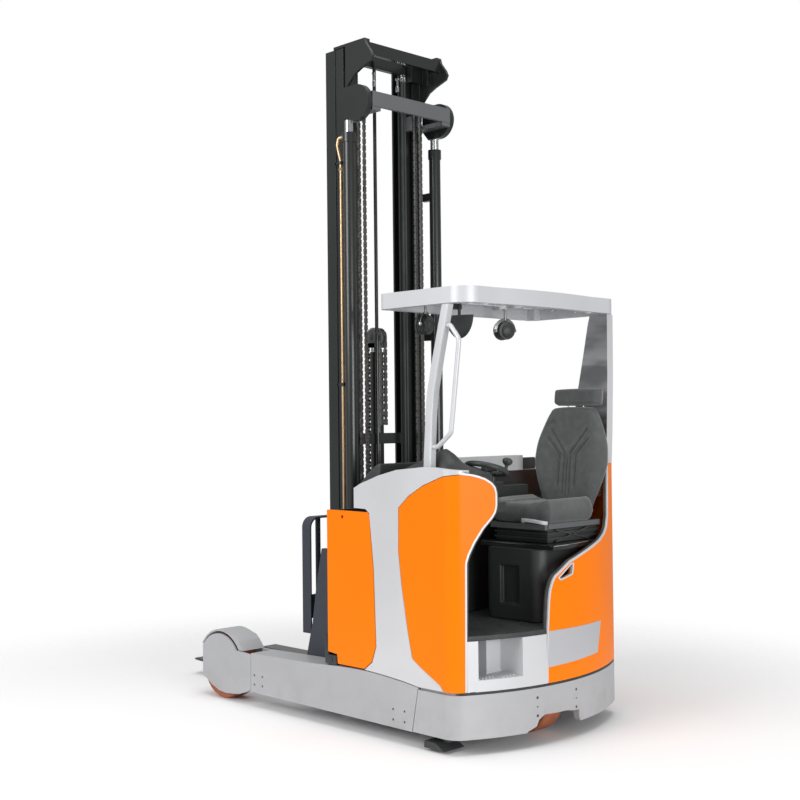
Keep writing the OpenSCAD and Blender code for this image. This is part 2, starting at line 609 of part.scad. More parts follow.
module yoke() { color([0.5, 0.51, 0.52]) place() {
  box(-mh + 8, mh - 8, bar_y, bar_y + 20, bar_z0, bar_z1);
  both() {
    along_x(-mh - 26, -mh + 10) polygon(concat(arc(bar_y + 98, sheave_z, 98, 90, 270, 24),
      [[1084, sheave_z - 98], [1130, sheave_z - 44], [1130, sheave_z + 98]]));
    rod_z(-cyl_x, cyl_y, 220, sheave_z - 90, 24);
    box(-mh + 8, -web_x - 44, bar_y + 2, 1012, bar_z0 - 22, bar_z0 + 2);
    box(-mh + 8, -chain_x - 14, 1010, 1132, bar_z0 - 22, bar_z0);
    box(-chain_x - 34, -chain_x - 14, 1112, 1132, bar_z0 - 22, bar_z0 + 60);
    box(-web_x - 50, -web_x, 1124, 1134, bar_z0 - 22, bar_z0 + 60);
    box(-web_x - 26, -web_x, 1132, mid_y0 - seat_gap, bar_z0 - 22, bar_z0 + 60);
    rod_x(-mh + 8, -chain_x - 12 - seat_gap, chain_y, bar_z1 + 10, 10);
  }
} }
module lift_chains() { color([0.2, 0.2, 0.2]) place() {
  both() {
    rod_x(-chain_x - 12, -chain_x + 12, chain_y, bar_z1 + 10, 28);
    box(-chain_x - 9, -chain_x + 9, chain_y + 15, chain_y + 28, 700, bar_z1 + 10);
    box(-chain_x - 9, -chain_x + 9, chain_y - 28, chain_y - 15, 900, bar_z1 + 10);
    box(-chain_x - 11, -chain_x + 11, chain_y + 10, chain_y + 31, 640, 710);
    box(-chain_x - 11, -chain_x + 11, chain_y - 31, chain_y - 12, 860, 920);
  }
} }

module inner_mast() { color([0.13, 0.14, 0.14]) place() {
  both() c_rail(in_h, 78, in_y0, in_y1, mast_foot_z + 40, mast_top + 4, 12);
  for (z = [[150, 230], [1440, 1500], [mast_top - 62, mast_top + 2]])
    box(-in_h + 50, in_h - 50, in_y0 - 30, in_y0 + 1, z[0], z[1]);
  rod_z(-72, in_y0 - 39, 165, mast_top - 20, 10);
} }
module free_cylinder() { color([0.1, 0.1, 0.1]) place() {
  difference() {
    union() {
      rod_z(0, free_y, 165, free_top, 38);
      for (z = [165, 1445]) box(-60, 60, in_y0 + 1 + seat_gap, free_y - 10, z, z + 40);
    }
    rod_z(0, free_y, 260, free_top + 1, 26 + run_gap);
  }
} }
module free_rod() { color([0.7, 0.7, 0.7]) place() {
  rod_z(0, free_y, 700, pulley_z - 50, 26);
  box(-46, 46, free_y - 34, free_y + 34, pulley_z - 55, pulley_z - 30);
  both() box(-46, -36, free_y - 34, free_y + 34, pulley_z - 55, pulley_z + 35);
  rod_x(-36, 36, free_y, pulley_z, 44);
  both() {
    box(-30, -10, free_y + 44, free_y + 58, 640, pulley_z);
    box(-30, -10, free_y - 58, free_y - 44, pulley_z - 500, pulley_z);
  }
  rod_x(-30, 30, free_y, pulley_z, 56);
} }

module carriage() { color([0.17, 0.18, 0.2]) place() {
  both() {
    box(-car_x, -car_x + 22, in_y0 + 14, 1322, 120, 620);
    for (z = [165, 575]) rod_x(-in_h + 20, -car_x + 12, (in_y0 + in_y1) / 2, z, (in_y1 - in_y0) / 2 - 12.5);
    box(-60, -30.6, free_y + 42, 1302, 560, 620);
    rod_x(-262, -225, tilt_y, tilt_z, 22);
    rod_x(-298, -230, tilt_y, tilt_z, 12);
    box(-262, -232, 1320, tilt_y, tilt_z - 22, tilt_z + 22);
  }
  box(-300, 300, 1300, 1325, 140, 250);
  box(-300, 300, 1300, 1325, 520, 620);
} }
back_x = 400;
back_top = 1040;
bend_r = 60;
module bent_outline(t) {
  polygon(concat([[-back_x + t, 398 - t]], arc(-back_x + bend_r, back_top - bend_r, bend_r - t, 180, 90, 8),
    arc(back_x - bend_r, back_top - bend_r, bend_r - t, 90, 0, 8), [[back_x - t, 398 - t]]));
}
module fork_frame() { color([0.26, 0.29, 0.33]) place() {
  along_y(fork_face_y - 70, fork_face_y) difference() {
    bent_outline(0);
    bent_outline(9);
  }
  for (x = [-338, -115, 90, 313]) box(x, x + 25, shank_back - 17, shank_back - seat_gap, 242, back_top - 4);
  box(-back_x + 4, back_x - 4, shank_back - 17, shank_back - seat_gap, 480, 610);
  box(-back_x, back_x, shank_back - 30, shank_back - seat_gap, 242, 300);
  difference() {
    both() box(-298, -268, shank_back - 41, shank_back - seat_gap, tilt_z - 28, 245);
    rod_x(-320, 320, tilt_y, tilt_z, 12 + run_gap);
  }
} }
module fork() {
  along_x(-fork_wide / 2, fork_wide / 2) polygon([[fork_face_y - fork_thick, fork_low + 14], [fork_face_y - 26, fork_low],
    [fork_face_y + 700, fork_low + 6], [tip_y - 6, fork_top_z - 13], [tip_y, fork_top_z - 9], [tip_y, fork_top_z - 3],
    [tip_y - 6, fork_top_z], [fork_face_y + 14, fork_top_z], [fork_face_y, fork_top_z + 14], [fork_face_y, 565],
    [fork_face_y - 12, 575], [fork_face_y - fork_thick, 575]]);
}
module fork_left() { color([0.12, 0.12, 0.13]) place() translate([-fork_x, 0, 0]) fork(); }
module fork_right() { color([0.12, 0.12, 0.13]) place() translate([fork_x, 0, 0]) fork(); }

chassis();
wheel_arm_left();
wheel_arm_right();
arm_guard_left();
arm_guard_right();
stabiliser_pad();
side_panel();
corner_panel();
rear_panel();
name_plate_blank();
step_panel();
right_shell();
battery();
battery_cover();
battery_bracket();
hood();
dash();
side_console();
floor_mat();
seat_pedestal();
seat_plate();
seat_suspension();
seat_cushion();
seat_back();
head_rest();
arm_console();
steering_column();
steering_wheel();
guard_roof();
front_pillar();
rear_pillar();
grab_handle();
work_lights();
mirror_unit();
drive_unit();
drive_tyre();
drive_hub();
load_tyre_left();
load_hub_left();
load_tyre_right();
load_hub_right();
reach_carriage();
outer_mast();
lift_cylinders();
mast_pipe();
middle_mast();
yoke();
lift_chains();
inner_mast();
free_cylinder();
free_rod();
carriage();
fork_frame();
fork_left();
fork_right();
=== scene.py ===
# %% [markdown]
# # A sit-on reach truck
# The truck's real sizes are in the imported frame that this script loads. Here it gets its looks: paint,
# moulded plastic, upholstery, chain links, lamps and small fittings. +Z is up, +Y points to the fork tips
# and the floor is z = 0. Blender works in metres; small fittings are written in millimetres, as on a
# workshop drawing.

# %% The frame
import json
import math

import bmesh
import bpy
import numpy as np
from mathutils import Matrix, Vector


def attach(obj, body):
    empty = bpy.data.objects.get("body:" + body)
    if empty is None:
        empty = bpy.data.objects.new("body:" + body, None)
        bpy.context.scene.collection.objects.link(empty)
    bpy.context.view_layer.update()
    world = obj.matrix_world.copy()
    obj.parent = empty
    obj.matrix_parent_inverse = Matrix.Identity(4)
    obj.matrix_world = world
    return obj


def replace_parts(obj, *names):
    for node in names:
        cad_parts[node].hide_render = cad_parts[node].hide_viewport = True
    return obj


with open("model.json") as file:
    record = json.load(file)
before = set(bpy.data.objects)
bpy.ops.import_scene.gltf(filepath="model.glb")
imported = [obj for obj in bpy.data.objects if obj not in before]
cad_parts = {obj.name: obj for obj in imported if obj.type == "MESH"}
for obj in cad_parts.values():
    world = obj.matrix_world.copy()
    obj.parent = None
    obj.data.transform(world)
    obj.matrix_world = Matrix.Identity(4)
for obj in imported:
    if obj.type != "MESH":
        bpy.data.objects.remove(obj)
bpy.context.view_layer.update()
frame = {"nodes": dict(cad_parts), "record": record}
record = frame["record"]
slot_of = {part["node"]: part["material_slot"] for part in record["subparts"]}
body_of = {name: body for body, names in record["behaviour"]["bodies"].items() for name in names}

# %% [markdown]
# ## Surfaces from arrays
# Most small fittings are one of two things: a grid of points that a formula fills, or a profile that is
# carried along a path. Both are worked out as whole numpy arrays and then handed to the mesh in one call,
# which is much quicker than a loop over vertices and keeps each shape's formula readable.

# %% Places
MM = 0.001
mid_y = 1217.5


def in_frame(points):
    """Points in millimetres from the rear plane, the centre line and the floor, as the frame's metres."""
    return (np.asarray(points, float) - [0.0, mid_y, 0.0]) * MM


def at(x, y, z):
    """One such point."""
    return in_frame([x, y, z])


print("frame's origin:", at(0, mid_y, 0))

# %% [markdown]
# ### Pieces
# A piece is one object with one finish. It rides on a body of the truck. Like surfaces, such as all bolts,
# are collected and built as one piece.

# %% Pieces
def shade(mesh, sharp_degrees=35):
    """Smooth shading that still breaks at every edge sharper than the angle."""
    mesh.polygons.foreach_set("use_smooth", np.ones(len(mesh.polygons), bool))
    mesh.set_sharp_from_angle(angle=math.radians(sharp_degrees))


def shown(name, mesh, finish, body):
    """The mesh as an object in the scene, with its finish and body."""
    thing = bpy.data.objects.new(name, mesh)
    bpy.context.scene.collection.objects.link(thing)
    mesh.materials.append(finishes[finish])
    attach(thing, body)
    return thing


def piece(name, verts, faces, finish, body, sharp_degrees=35):
    """A piece from arrays of vertices and faces."""
    mesh = bpy.data.meshes.new(name)
    mesh.from_pydata([tuple(v) for v in np.asarray(verts, float)], [], [tuple(map(int, f)) for f in faces])
    mesh.validate()
    shade(mesh, sharp_degrees)
    return shown(name, mesh, finish, body)


class Parts:
    """Collects the surfaces of one piece into one mesh."""

    def __init__(self):
        self.verts, self.faces, self.count = [], [], 0

    def add(self, verts, faces):
        verts = np.asarray(verts, float).reshape(-1, 3)
        self.verts.append(verts)
        self.faces += [tuple(int(k) + self.count for k in f) for f in faces]
        self.count += len(verts)
        return self

    def build(self, name, finish, body, sharp_degrees=35):
        return piece(name, np.concatenate(self.verts), self.faces, finish, body, sharp_degrees)


print("pieces ready")

# %% [markdown]
# ### Turned and swept surfaces
# A turned part is a profile carried round an axis, and a tube is a round profile carried along a path.
# Either way the result is a grid of points, row after row, closed into rings and capped at its ends.

# %% Turned and swept surfaces
def grid_faces(rows, columns, wrap_rows=False, wrap_columns=True):
    """Quads of a rows x columns grid whose vertices are numbered row by row."""
    i = np.arange(rows if wrap_rows else rows - 1)[:, None]
    j = np.arange(columns if wrap_columns else columns - 1)[None, :]
    i2, j2 = (i + 1) % rows, (j + 1) % columns
    corners = [i * columns + j, i * columns + j2, i2 * columns + j2, i2 * columns + j]
    return np.stack([np.broadcast_to(c, (len(i), j.shape[1])) for c in corners], -1).reshape(-1, 4)


def lofted(points, closed=False):
    """The surface through rings of points; the ends are capped unless the last ring meets the first."""
    rows, columns = points.shape[:2]
    faces = [tuple(f) for f in grid_faces(rows, columns, wrap_rows=closed)]
    if not closed:
        last = (rows - 1) * columns
        faces += [tuple(range(columns))[::-1], tuple(range(last, last + columns))]
    return points.reshape(-1, 3), faces


def unit(vectors):
    """Each vector divided by its own length."""
    return vectors / np.linalg.norm(vectors, axis=-1, keepdims=True)


def axes_of(direction):
    """Three perpendicular unit vectors, the last one along the direction."""
    w = unit(np.asarray(direction, float))
    start = np.array([0.0, 0.0, 1.0]) if abs(w[2]) < 0.9 else np.array([1.0, 0.0, 0.0])
    u = unit(np.cross(start, w))
    return u, np.cross(w, u), w


def turned(profile, centre, axis, sides=32):
    """A solid of revolution: (radius, height) pairs in millimetres round an axis through the centre."""
    profile = np.asarray(profile, float) * MM
    u, v, w = axes_of(axis)
    a = np.arange(sides) * (2 * math.pi / sides)
    ring = np.cos(a)[:, None] * u + np.sin(a)[:, None] * v
    return lofted(np.asarray(centre, float) + profile[:, None, :1] * ring + profile[:, None, 1:] * w)


def tangents_of(path, closed=False):
    """Unit direction of a path at each of its points, from the points before and after."""
    return unit(np.roll(path, -1, 0) - np.roll(path, 1, 0) if closed else np.gradient(path, axis=0))


def carried(path, profile, side, top, closed=False):
    """Profile of (side, top) pairs in metres set at each point of a path, along its side and top vectors."""
    return lofted(path[:, None] + profile[:, :1] * side[:, None] + profile[:, 1:] * top[:, None], closed)


def swept(path, profile, closed=False):
    """A profile of (side, top) pairs in millimetres carried along a path in metres without twist."""
    path = np.asarray(path, float)
    tangents = tangents_of(path, closed)
    side = axes_of(tangents[0])[0]
    sides = []
    for tangent in tangents:
        side = unit(side - tangent * (side @ tangent))
        sides.append(side)
    sides = np.array(sides)
    return carried(path, np.asarray(profile, float) * MM, sides, np.cross(tangents, sides), closed)


def circle(radius, sides=12):
    """A round profile."""
    a = np.arange(sides) * (2 * math.pi / sides)
    return np.stack([radius * np.cos(a), radius * np.sin(a)], 1)


print("a plain rod has", len(turned([(1, 0), (1, 2)], at(0, 0, 0), (0, 0, 1))[1]), "faces")

# %% [markdown]
# ### Paths and plates
# A hose follows a smooth curve through a few points. A bent tube is straight between round bends. A plate
# is an outline given a thickness, and a block is the plainest plate.

# %% Paths and plates
def smooth_path(points, steps=8):
    """A Catmull-Rom curve through the points, with the given steps between each pair."""
    p = np.asarray(points, float)
    p = np.concatenate([[2 * p[0] - p[1]], p, [2 * p[-1] - p[-2]]])
    t = np.linspace(0, 1, steps, endpoint=False)[:, None]
    out = []
    for a, b, c, d in zip(p, p[1:], p[2:], p[3:]):
        square, cube = 2 * a - 5 * b + 4 * c - d, 3 * b - 3 * c + d - a
        out.append(0.5 * (2 * b + (c - a) * t + square * t**2 + cube * t**3))
    return np.concatenate(out + [p[-2][None]])


def bent_path(points, radius, steps=6):
    """Straight runs joined by round bends of the given radius, as a bent tube has."""
    p = np.asarray(points, float)
    out = [p[0]]
    for a, b, c in zip(p, p[1:], p[2:]):
        before, after = unit(a - b), unit(c - b)
        half_angle = math.acos(np.clip(before @ after, -1, 1)) / 2
        most = 0.49 * min(np.linalg.norm(a - b), np.linalg.norm(c - b))
        reach = min(radius / math.tan(half_angle), most)
        t = np.linspace(0, 1, steps + 1)[:, None]
        out += list((1 - t) ** 2 * (b + before * reach) + 2 * t * (1 - t) * b + t**2 * (b + after * reach))
    return np.array(out + [p[-1]])


def prism(outline, low, high, axis="x"):
    """An outline given thickness along an axis: its pairs are (y, z) for x, (x, z) for y and (x, y) for z."""
    outline = np.asarray(outline, float)
    a, b = outline.T
    if (np.sum(a * np.roll(b, -1) - b * np.roll(a, -1)) > 0) == (axis == "y"):
        a, b = a[::-1], b[::-1]
    n = len(a)
    k = np.arange(n)
    ends = []
    for level in (low, high):
        c = np.full(n, float(level))
        ends.append(np.stack({"x": (c, a, b), "y": (a, c, b), "z": (a, b, c)}[axis], 1))
    faces = [tuple(f) for f in np.stack([k, (k + 1) % n, (k + 1) % n + n, k + n], 1)]
    return np.concatenate(ends), faces + [tuple(k[::-1]), tuple(k + n)]


def plate(outline, low, high, axis="x"):
    """Such a prism from millimetres, set in the frame."""
    points, faces = prism(outline, low, high, axis)
    return in_frame(points), faces


def block(x0, x1, y0, y1, z0, z1):
    """A plain block from its limits in millimetres."""
    return plate([(x0, y0), (x1, y0), (x1, y1), (x0, y1)], z0, z1, "z")


print("a block has", len(block(0, 1, 0, 1, 0, 1)[1]), "faces")

# %% [markdown]
# ## Shader maths as Python
# A finish is easier to read as an expression than as a list of links. One small class wraps an output
# socket and overloads the operators, so `1 - mask` or `speckle * 0.2 + 0.4` adds the Math nodes by itself.
# Every other node comes from one method that takes its type, its settings and its inputs.

# %% The socket class
class Wire:
    """One output socket of a node tree."""

    def __init__(self, tree, socket):
        self.tree, self.socket = tree, socket

    def node(self, kind, settings=None, inputs=None, output=0):
        return add_node(self.tree, kind, settings, inputs, output)

    def maths(self, operation, first, second=0.0):
        return self.node("ShaderNodeMath", {"operation": operation}, {0: first, 1: second})

    def __add__(self, other):
        return self.maths("ADD", self, other)

    __radd__ = __add__

    def __sub__(self, other):
        return self.maths("SUBTRACT", self, other)

    def __rsub__(self, other):
        return self.maths("SUBTRACT", other, self)

    def __mul__(self, other):
        return self.maths("MULTIPLY", self, other)

    __rmul__ = __mul__

    def __pow__(self, other):
        return self.maths("POWER", self, other)

    def clamped(self):
        return self.node("ShaderNodeClamp", {}, {"Value": self})

    def ramp(self, low, high):
        """0 below low, 1 above high and a smooth change between them."""
        return self.node("ShaderNodeMapRange", {"interpolation_type": "SMOOTHSTEP"},
                         {"Value": self, "From Min": low, "From Max": high})

    def sine(self):
        return self.maths("SINE", self)


def add_node(tree, kind, settings=None, inputs=None, output=0):
    """Adds a node: its settings first, then a value or a wire for each named input."""
    made = tree.nodes.new(kind)
    for key, value in (settings or {}).items():
        setattr(made, key, value)
    for key, value in (inputs or {}).items():
        if isinstance(value, Wire):
            tree.links.new(value.socket, made.inputs[key])
        else:
            made.inputs[key].default_value = value
    return Wire(tree, made.outputs[output])


class Finish:
    """A material with one Principled shader, and the few textures that the finishes share."""

    def __init__(self, name):
        self.material = bpy.data.materials.new(name)
        self.material.use_nodes = True
        self.tree = self.material.node_tree
        self.shader = self.tree.nodes["Principled BSDF"]
        self.place = add_node(self.tree, "ShaderNodeTexCoord", output="Object")

    def set(self, **values):
        for key, value in values.items():
            socket = self.shader.inputs[key.replace("_", " ").title().replace("Ior", "IOR")]
            if isinstance(value, Wire):
                self.tree.links.new(value.socket, socket)
            else:
                socket.default_value = value

    def stretched(self, x=1.0, y=1.0, z=1.0):
        return add_node(self.tree, "ShaderNodeMapping", {}, {"Vector": self.place, "Scale": (x, y, z)})

    def noise(self, scale, detail=3.0, rough=0.55, place=None):
        return add_node(self.tree, "ShaderNodeTexNoise", {},
                        {"Vector": place or self.place, "Scale": scale, "Detail": detail, "Roughness": rough})

    def cells(self, scale, feature):
        return add_node(self.tree, "ShaderNodeTexVoronoi", {"feature": feature},
                        {"Vector": self.place, "Scale": scale})

    def axis(self, name):
        return add_node(self.tree, "ShaderNodeSeparateXYZ", {}, {"Vector": self.place}, name)

    def mix(self, factor, first, second):
        """A colour between two others."""
        return add_node(self.tree, "ShaderNodeMix", {"data_type": "RGBA"},
                        {"Factor": factor, 6: first if isinstance(first, Wire) else (*first, 1.0),
                         7: second if isinstance(second, Wire) else (*second, 1.0)}, 2)

    def bump(self, height, strength, distance):
        inputs = {"Strength": strength, "Distance": distance, "Height": height}
        self.set(normal=add_node(self.tree, "ShaderNodeBump", {}, inputs))


def linear(red, green, blue):
    """An sRGB colour of 0 to 255 as the linear values that a shader takes."""
    c = np.array([red, green, blue], float) / 255
    return tuple(np.where(c <= 0.04045, c / 12.92, ((c + 0.055) / 1.055) ** 2.4).tolist())


def darker(colour, share):
    """The same colour with a share of its light left."""
    return tuple(channel * share for channel in colour)


print("shader helpers ready")

# %% [markdown]
# ## Paint
# The truck's steel is powder coated. Such paint isn't flat: it has a faint orange peel that breaks up
# reflections, its gloss changes a little from place to place, and dust and scuffs gather low down. So each
# paint takes its colour and adds a broad change of tone, a fine peel as bump and a dusty mask that fades
# with height.

# %% Painted steel
FLOOR_DUST = linear(150, 146, 140)


def paint(name, colour, roughness, metallic=0.0, coat=0.0, peel=0.25, dust=0.10, scuff=0.05, tone=0.06,
          shine=0.5):
    """Powder-coated steel: tone = broad noise, dust = noise that fades over the lowest half metre."""
    f = Finish(name)
    broad = f.noise(1.7, 3.0)
    fine = f.noise(420.0, 2.0)
    scratches = f.noise(38.0, 6.0, 0.7, f.stretched(1.0, 0.15, 1.0)).ramp(0.63, 0.75)
    low = (1.0 - f.axis("Z") * 2.6).clamped()
    dusty = (f.noise(9.0, 6.0, 0.62).ramp(0.40, 0.72) * low * dust * 3.0 + low * dust).clamped()
    base = f.mix(broad.ramp(0.35, 0.65), darker(colour, 1.0 - tone), colour)
    base = f.mix(scratches * scuff, base, darker(colour, 1.25))
    base = f.mix(dusty, base, FLOOR_DUST)
    rough = (broad * 0.10 + (roughness - 0.05) + dusty * 0.3 + scratches * 0.10).clamped()
    f.set(base_color=base, roughness=rough, metallic=metallic, coat_weight=coat, coat_roughness=0.12)
    f.shader.inputs["Specular IOR Level"].default_value = shine
    f.bump(fine + scratches * -0.4, peel, 0.0004)
    return f.material


print("floor dust, linear:", [round(channel, 3) for channel in FLOOR_DUST])

# %% [markdown]
# ## Moulded plastic and rubber
# Cab trim is injection moulded with a leathery grain. Its cells are a Voronoi pattern a few millimetres
# wide, shown as bump, and the colour lifts a little where hands and boots rub.

# %% Plastic and rubber
def moulded(name, colour, roughness, grain=620.0, depth=0.35, tone=0.10):
    """Grained plastic: Voronoi cells as bump over a broad change of tone."""
    f = Finish(name)
    broad = f.noise(4.0, 4.0)
    cells = f.cells(grain, "DISTANCE_TO_EDGE")
    worn = f.noise(14.0, 5.0, 0.65).ramp(0.56, 0.74)
    base = f.mix(broad.ramp(0.3, 0.7), darker(colour, 1.0 - tone), colour)
    base = f.mix(worn * 0.22, base, darker(colour, 1.6))
    f.set(base_color=base, roughness=(roughness - 0.04 + broad * 0.08 - worn * 0.08).clamped())
    f.bump(cells.ramp(0.0, 0.25), depth, 0.0003)
    return f.material


def rubbery(name, colour, roughness=0.8):
    """Rubber or polyurethane: matt, with fine pits and a dusty tone."""
    f = Finish(name)
    broad = f.noise(11.0, 5.0, 0.6)
    pits = f.noise(260.0, 3.0, 0.6)
    base = f.mix(broad.ramp(0.36, 0.68), darker(colour, 0.8), darker(colour, 1.15))
    f.set(base_color=base, roughness=(broad * 0.15 + (roughness - 0.08)).clamped())
    f.bump(pits, 0.4, 0.0006)
    return f.material


print("plastic and rubber ready")

# %% [markdown]
# ## Bare metal
# Pins, rods and chains are bare. Ground rods are nearly mirrors with a fine turned grain, cast hubs are
# rough and pitted, and chains carry a film of dark oil that pools in the joints.

# %% Bare metal
def bare_metal(name, colour, roughness, grain=(1.0, 1.0, 1.0), grain_scale=300.0, depth=0.15, grime=0.2):
    """Metal: a stretched noise is its grain, and a film of grime lies in broad patches."""
    f = Finish(name)
    lines = f.noise(grain_scale, 3.0, 0.6, f.stretched(*grain))
    film = f.noise(21.0, 6.0, 0.65).ramp(0.45, 0.72)
    base = f.mix(lines.ramp(0.3, 0.7), darker(colour, 0.86), colour)
    base = f.mix(film * grime, base, darker(colour, 0.35))
    rough = lines * 0.12 + (roughness - 0.06) + film * grime
    f.set(base_color=base, metallic=1.0, roughness=rough.clamped())
    f.bump(lines, depth, 0.0003)
    return f.material


print("bare metal ready")

# %% [markdown]
# ## Seat cloth
# The seat is covered in a flat woven cloth. Two crossing sets of ribs, about two millimetres apart, give
# the weave; a second, broader noise makes the nap lighter in patches, as on a seat that has been sat in.

# %% Woven cloth
def woven(name, colour, pitch=0.0022):
    """Cloth: the product of two sine waves at right angles is the height of the weave."""
    f = Finish(name)
    turns = 2 * math.pi / pitch
    warp = (f.axis("Y") * turns).sine()
    weft = ((f.axis("Z") + f.axis("X")) * turns).sine()
    height = warp * weft * 0.5 + 0.5
    nap = f.noise(26.0, 5.0, 0.6)
    fuzz = f.noise(900.0, 2.0)
    base = f.mix(nap.ramp(0.35, 0.68), darker(colour, 0.84), darker(colour, 1.10))
    base = f.mix(height * 0.25, base, darker(colour, 0.70))
    f.set(base_color=base, roughness=(nap * 0.1 + 0.85).clamped(), sheen_weight=0.35, sheen_roughness=0.5)
    f.bump(height * 0.6 + fuzz * 0.6, 0.5, 0.0005)
    return f.material


print("woven cloth ready")

# %% Finishes by slot
finishes = {
    "grey_steel": paint("grey_steel", linear(182, 183, 186), 0.42, metallic=0.2),
    "silver_panel": paint("silver_panel", linear(214, 215, 218), 0.40, metallic=0.2, dust=0.03),
    "orange_panel": paint("orange_panel", linear(255, 128, 0), 0.40, coat=0.04, dust=0.02, tone=0.03,
                          scuff=0.02, shine=0.12),
    "white_panel": paint("white_panel", linear(212, 213, 217), 0.38, metallic=0.15, dust=0.0, tone=0.03),
    "dark_steel": paint("dark_steel", linear(28, 31, 31), 0.30, coat=0.35, dust=0.03, tone=0.15, scuff=0.25),
    "slate_steel": paint("slate_steel", linear(58, 62, 72), 0.42, metallic=0.1, dust=0.06, tone=0.10,
                         scuff=0.15),
    "yoke_grey": paint("yoke_grey", linear(108, 110, 112), 0.40, metallic=0.3, dust=0.0),
    "black_plastic": moulded("black_plastic", linear(56, 59, 59), 0.40),
    "grey_plastic": moulded("grey_plastic", linear(200, 201, 203), 0.5),
    "black_rubber": rubbery("black_rubber", linear(56, 58, 58), 0.55),
    "polyurethane": rubbery("polyurethane", linear(162, 92, 60), 0.6),
    "wheel_steel": bare_metal("wheel_steel", linear(110, 110, 114), 0.52, grain_scale=90.0, depth=0.4,
                              grime=0.35),
    "chrome_rod": bare_metal("chrome_rod", linear(208, 210, 214), 0.16, (1.0, 1.0, 8.0), 160.0, 0.05, 0.08),
    "pipe_metal": bare_metal("pipe_metal", linear(222, 190, 150), 0.34, (1.0, 1.0, 0.2), 200.0, 0.1, 0.15),
    "seat_fabric": woven("seat_fabric", linear(82, 86, 85)),
    "battery_case": paint("battery_case", linear(46, 47, 50), 0.55, dust=0.12),
    "sign_plate": paint("sign_plate", linear(200, 201, 205), 0.36, metallic=0.35, dust=0.0, tone=0.02,
                        scuff=0.0),
    "chain_steel": bare_metal("chain_steel", linear(176, 175, 172), 0.30, grime=0.35),
}
for name, thing in frame["nodes"].items():
    thing.data.materials.clear()
    thing.data.materials.append(finishes[slot_of[name]])
print("finishes:", len(finishes))

# %% [markdown]
# ## Rounded edges
# A folded or cast edge is never razor sharp: it has a radius of a few millimetres that catches a line of
# light, and a truck without those lines looks like cardboard. The frame's meshes must not change, so each
# visible shell is copied, its loose triangles are merged, flat neighbours are joined into one face, and the
# long sharp edges get a real round. Short edges, such as the rim of a bolt hole, are left crisp.

# %% Rounded copies of the frame's shells
def rounded(node, radius, segments=2, shortest=0.012, sharp=30.0):
    """A copy of a frame node whose long sharp edges are rounded to the radius; it stands for the node."""
    shape = bmesh.new()
    shape.from_mesh(frame["nodes"][node].data)
    bmesh.ops.remove_doubles(shape, verts=shape.verts, dist=2e-5)
    bmesh.ops.dissolve_limit(shape, angle_limit=math.radians(0.4), verts=shape.verts, edges=shape.edges)
    limit = math.radians(sharp)
    chosen = [e for e in shape.edges if len(e.link_faces) == 2 and e.calc_face_angle(0.0) > limit
              and e.calc_length() > shortest]
    if chosen:
        bmesh.ops.bevel(shape, geom=chosen, offset=radius, segments=segments, profile=0.5,
                        affect="EDGES", clamp_overlap=True, loop_slide=True)
    mesh = bpy.data.meshes.new(node + "_shell")
    shape.to_mesh(mesh)
    shape.free()
    shade(mesh, 40)
    thing = shown(node + "_shell", mesh, slot_of[node], body_of[node])
    thing.modifiers.new("even_light", "WEIGHTED_NORMAL").keep_sharp = True
    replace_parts(thing, node)
    return thing


# radius in millimetres of each shell's edges
edge_radius = {
    "chassis": 5.0, "wheel_arm_left": 4.0, "wheel_arm_right": 4.0, "arm_guard_left": 3.0,
    "arm_guard_right": 3.0, "side_panel": 4.0, "corner_panel": 4.0, "rear_panel": 5.0,
    "name_plate_blank": 1.5, "step_panel": 3.0,
    "right_shell": 4.0, "battery_cover": 4.0, "battery_bracket": 3.0, "hood": 12.0, "dash": 8.0,
    "side_console": 12.0, "floor_mat": 3.0, "seat_pedestal": 8.0, "seat_suspension": 5.0,
    "arm_console": 8.0, "guard_roof": 8.0, "front_pillar": 7.0, "rear_pillar": 6.0, "reach_carriage": 3.0,
    "outer_mast": 3.0, "middle_mast": 2.5, "inner_mast": 2.5, "yoke": 4.0, "carriage": 3.0, "fork_frame": 3.0,
    "fork_left": 3.0, "fork_right": 3.0, "lift_cylinders": 2.0, "battery": 4.0,
}
shells = {node: rounded(node, radius * MM) for node, radius in edge_radius.items()}
print("rounded shells:", len(shells))

# %% [markdown]
# ### More than one finish on a shell
# Some castings and panels are one form in the frame but show two or three finishes. Each face of the shell
# then gets its finish from where its middle lies. The yoke's cross bar is grey, the round cheeks at its
# ends are the mast's near-black, and the two piston rods under them are ground steel. The console across
# the front of the cab has a light grey band over black lining. The rear post is a deep folded sheet: its
# broad inner face is brushed metal whose colour carries a painted reflection, broad bands from light to
# dark, and only its narrow rear face is painted like the roof.

# %% Faces with their own finish
def refinished(node, extra, choose):
    """Gives the faces of a shell the finish that choose picks by their middles, 0 for the shell's own."""
    mesh = shells[node].data
    middles = np.empty(len(mesh.polygons) * 3)
    mesh.polygons.foreach_get("center", middles)
    index = choose(*(middles.reshape(-1, 3) / MM + [0, mid_y, 0]).T).astype(np.int32)
    for finish in extra:
        mesh.materials.append(finishes[finish])
    mesh.polygons.foreach_set("material_index", index)
    print(node, "faces by finish:", np.bincount(index).tolist())


def yoke_finish(x, y, z):
    """2 on the rods, 1 on the cheeks outside the bar."""
    rod_x, rod_y, rod_radius, rod_top, bar_end = 334, 1066, 24.6, 3195, 299
    on_rod = (np.hypot(np.abs(x) - rod_x, y - rod_y) < rod_radius) & (z < rod_top)
    return np.where(on_rod, 2, np.abs(x) > bar_end)
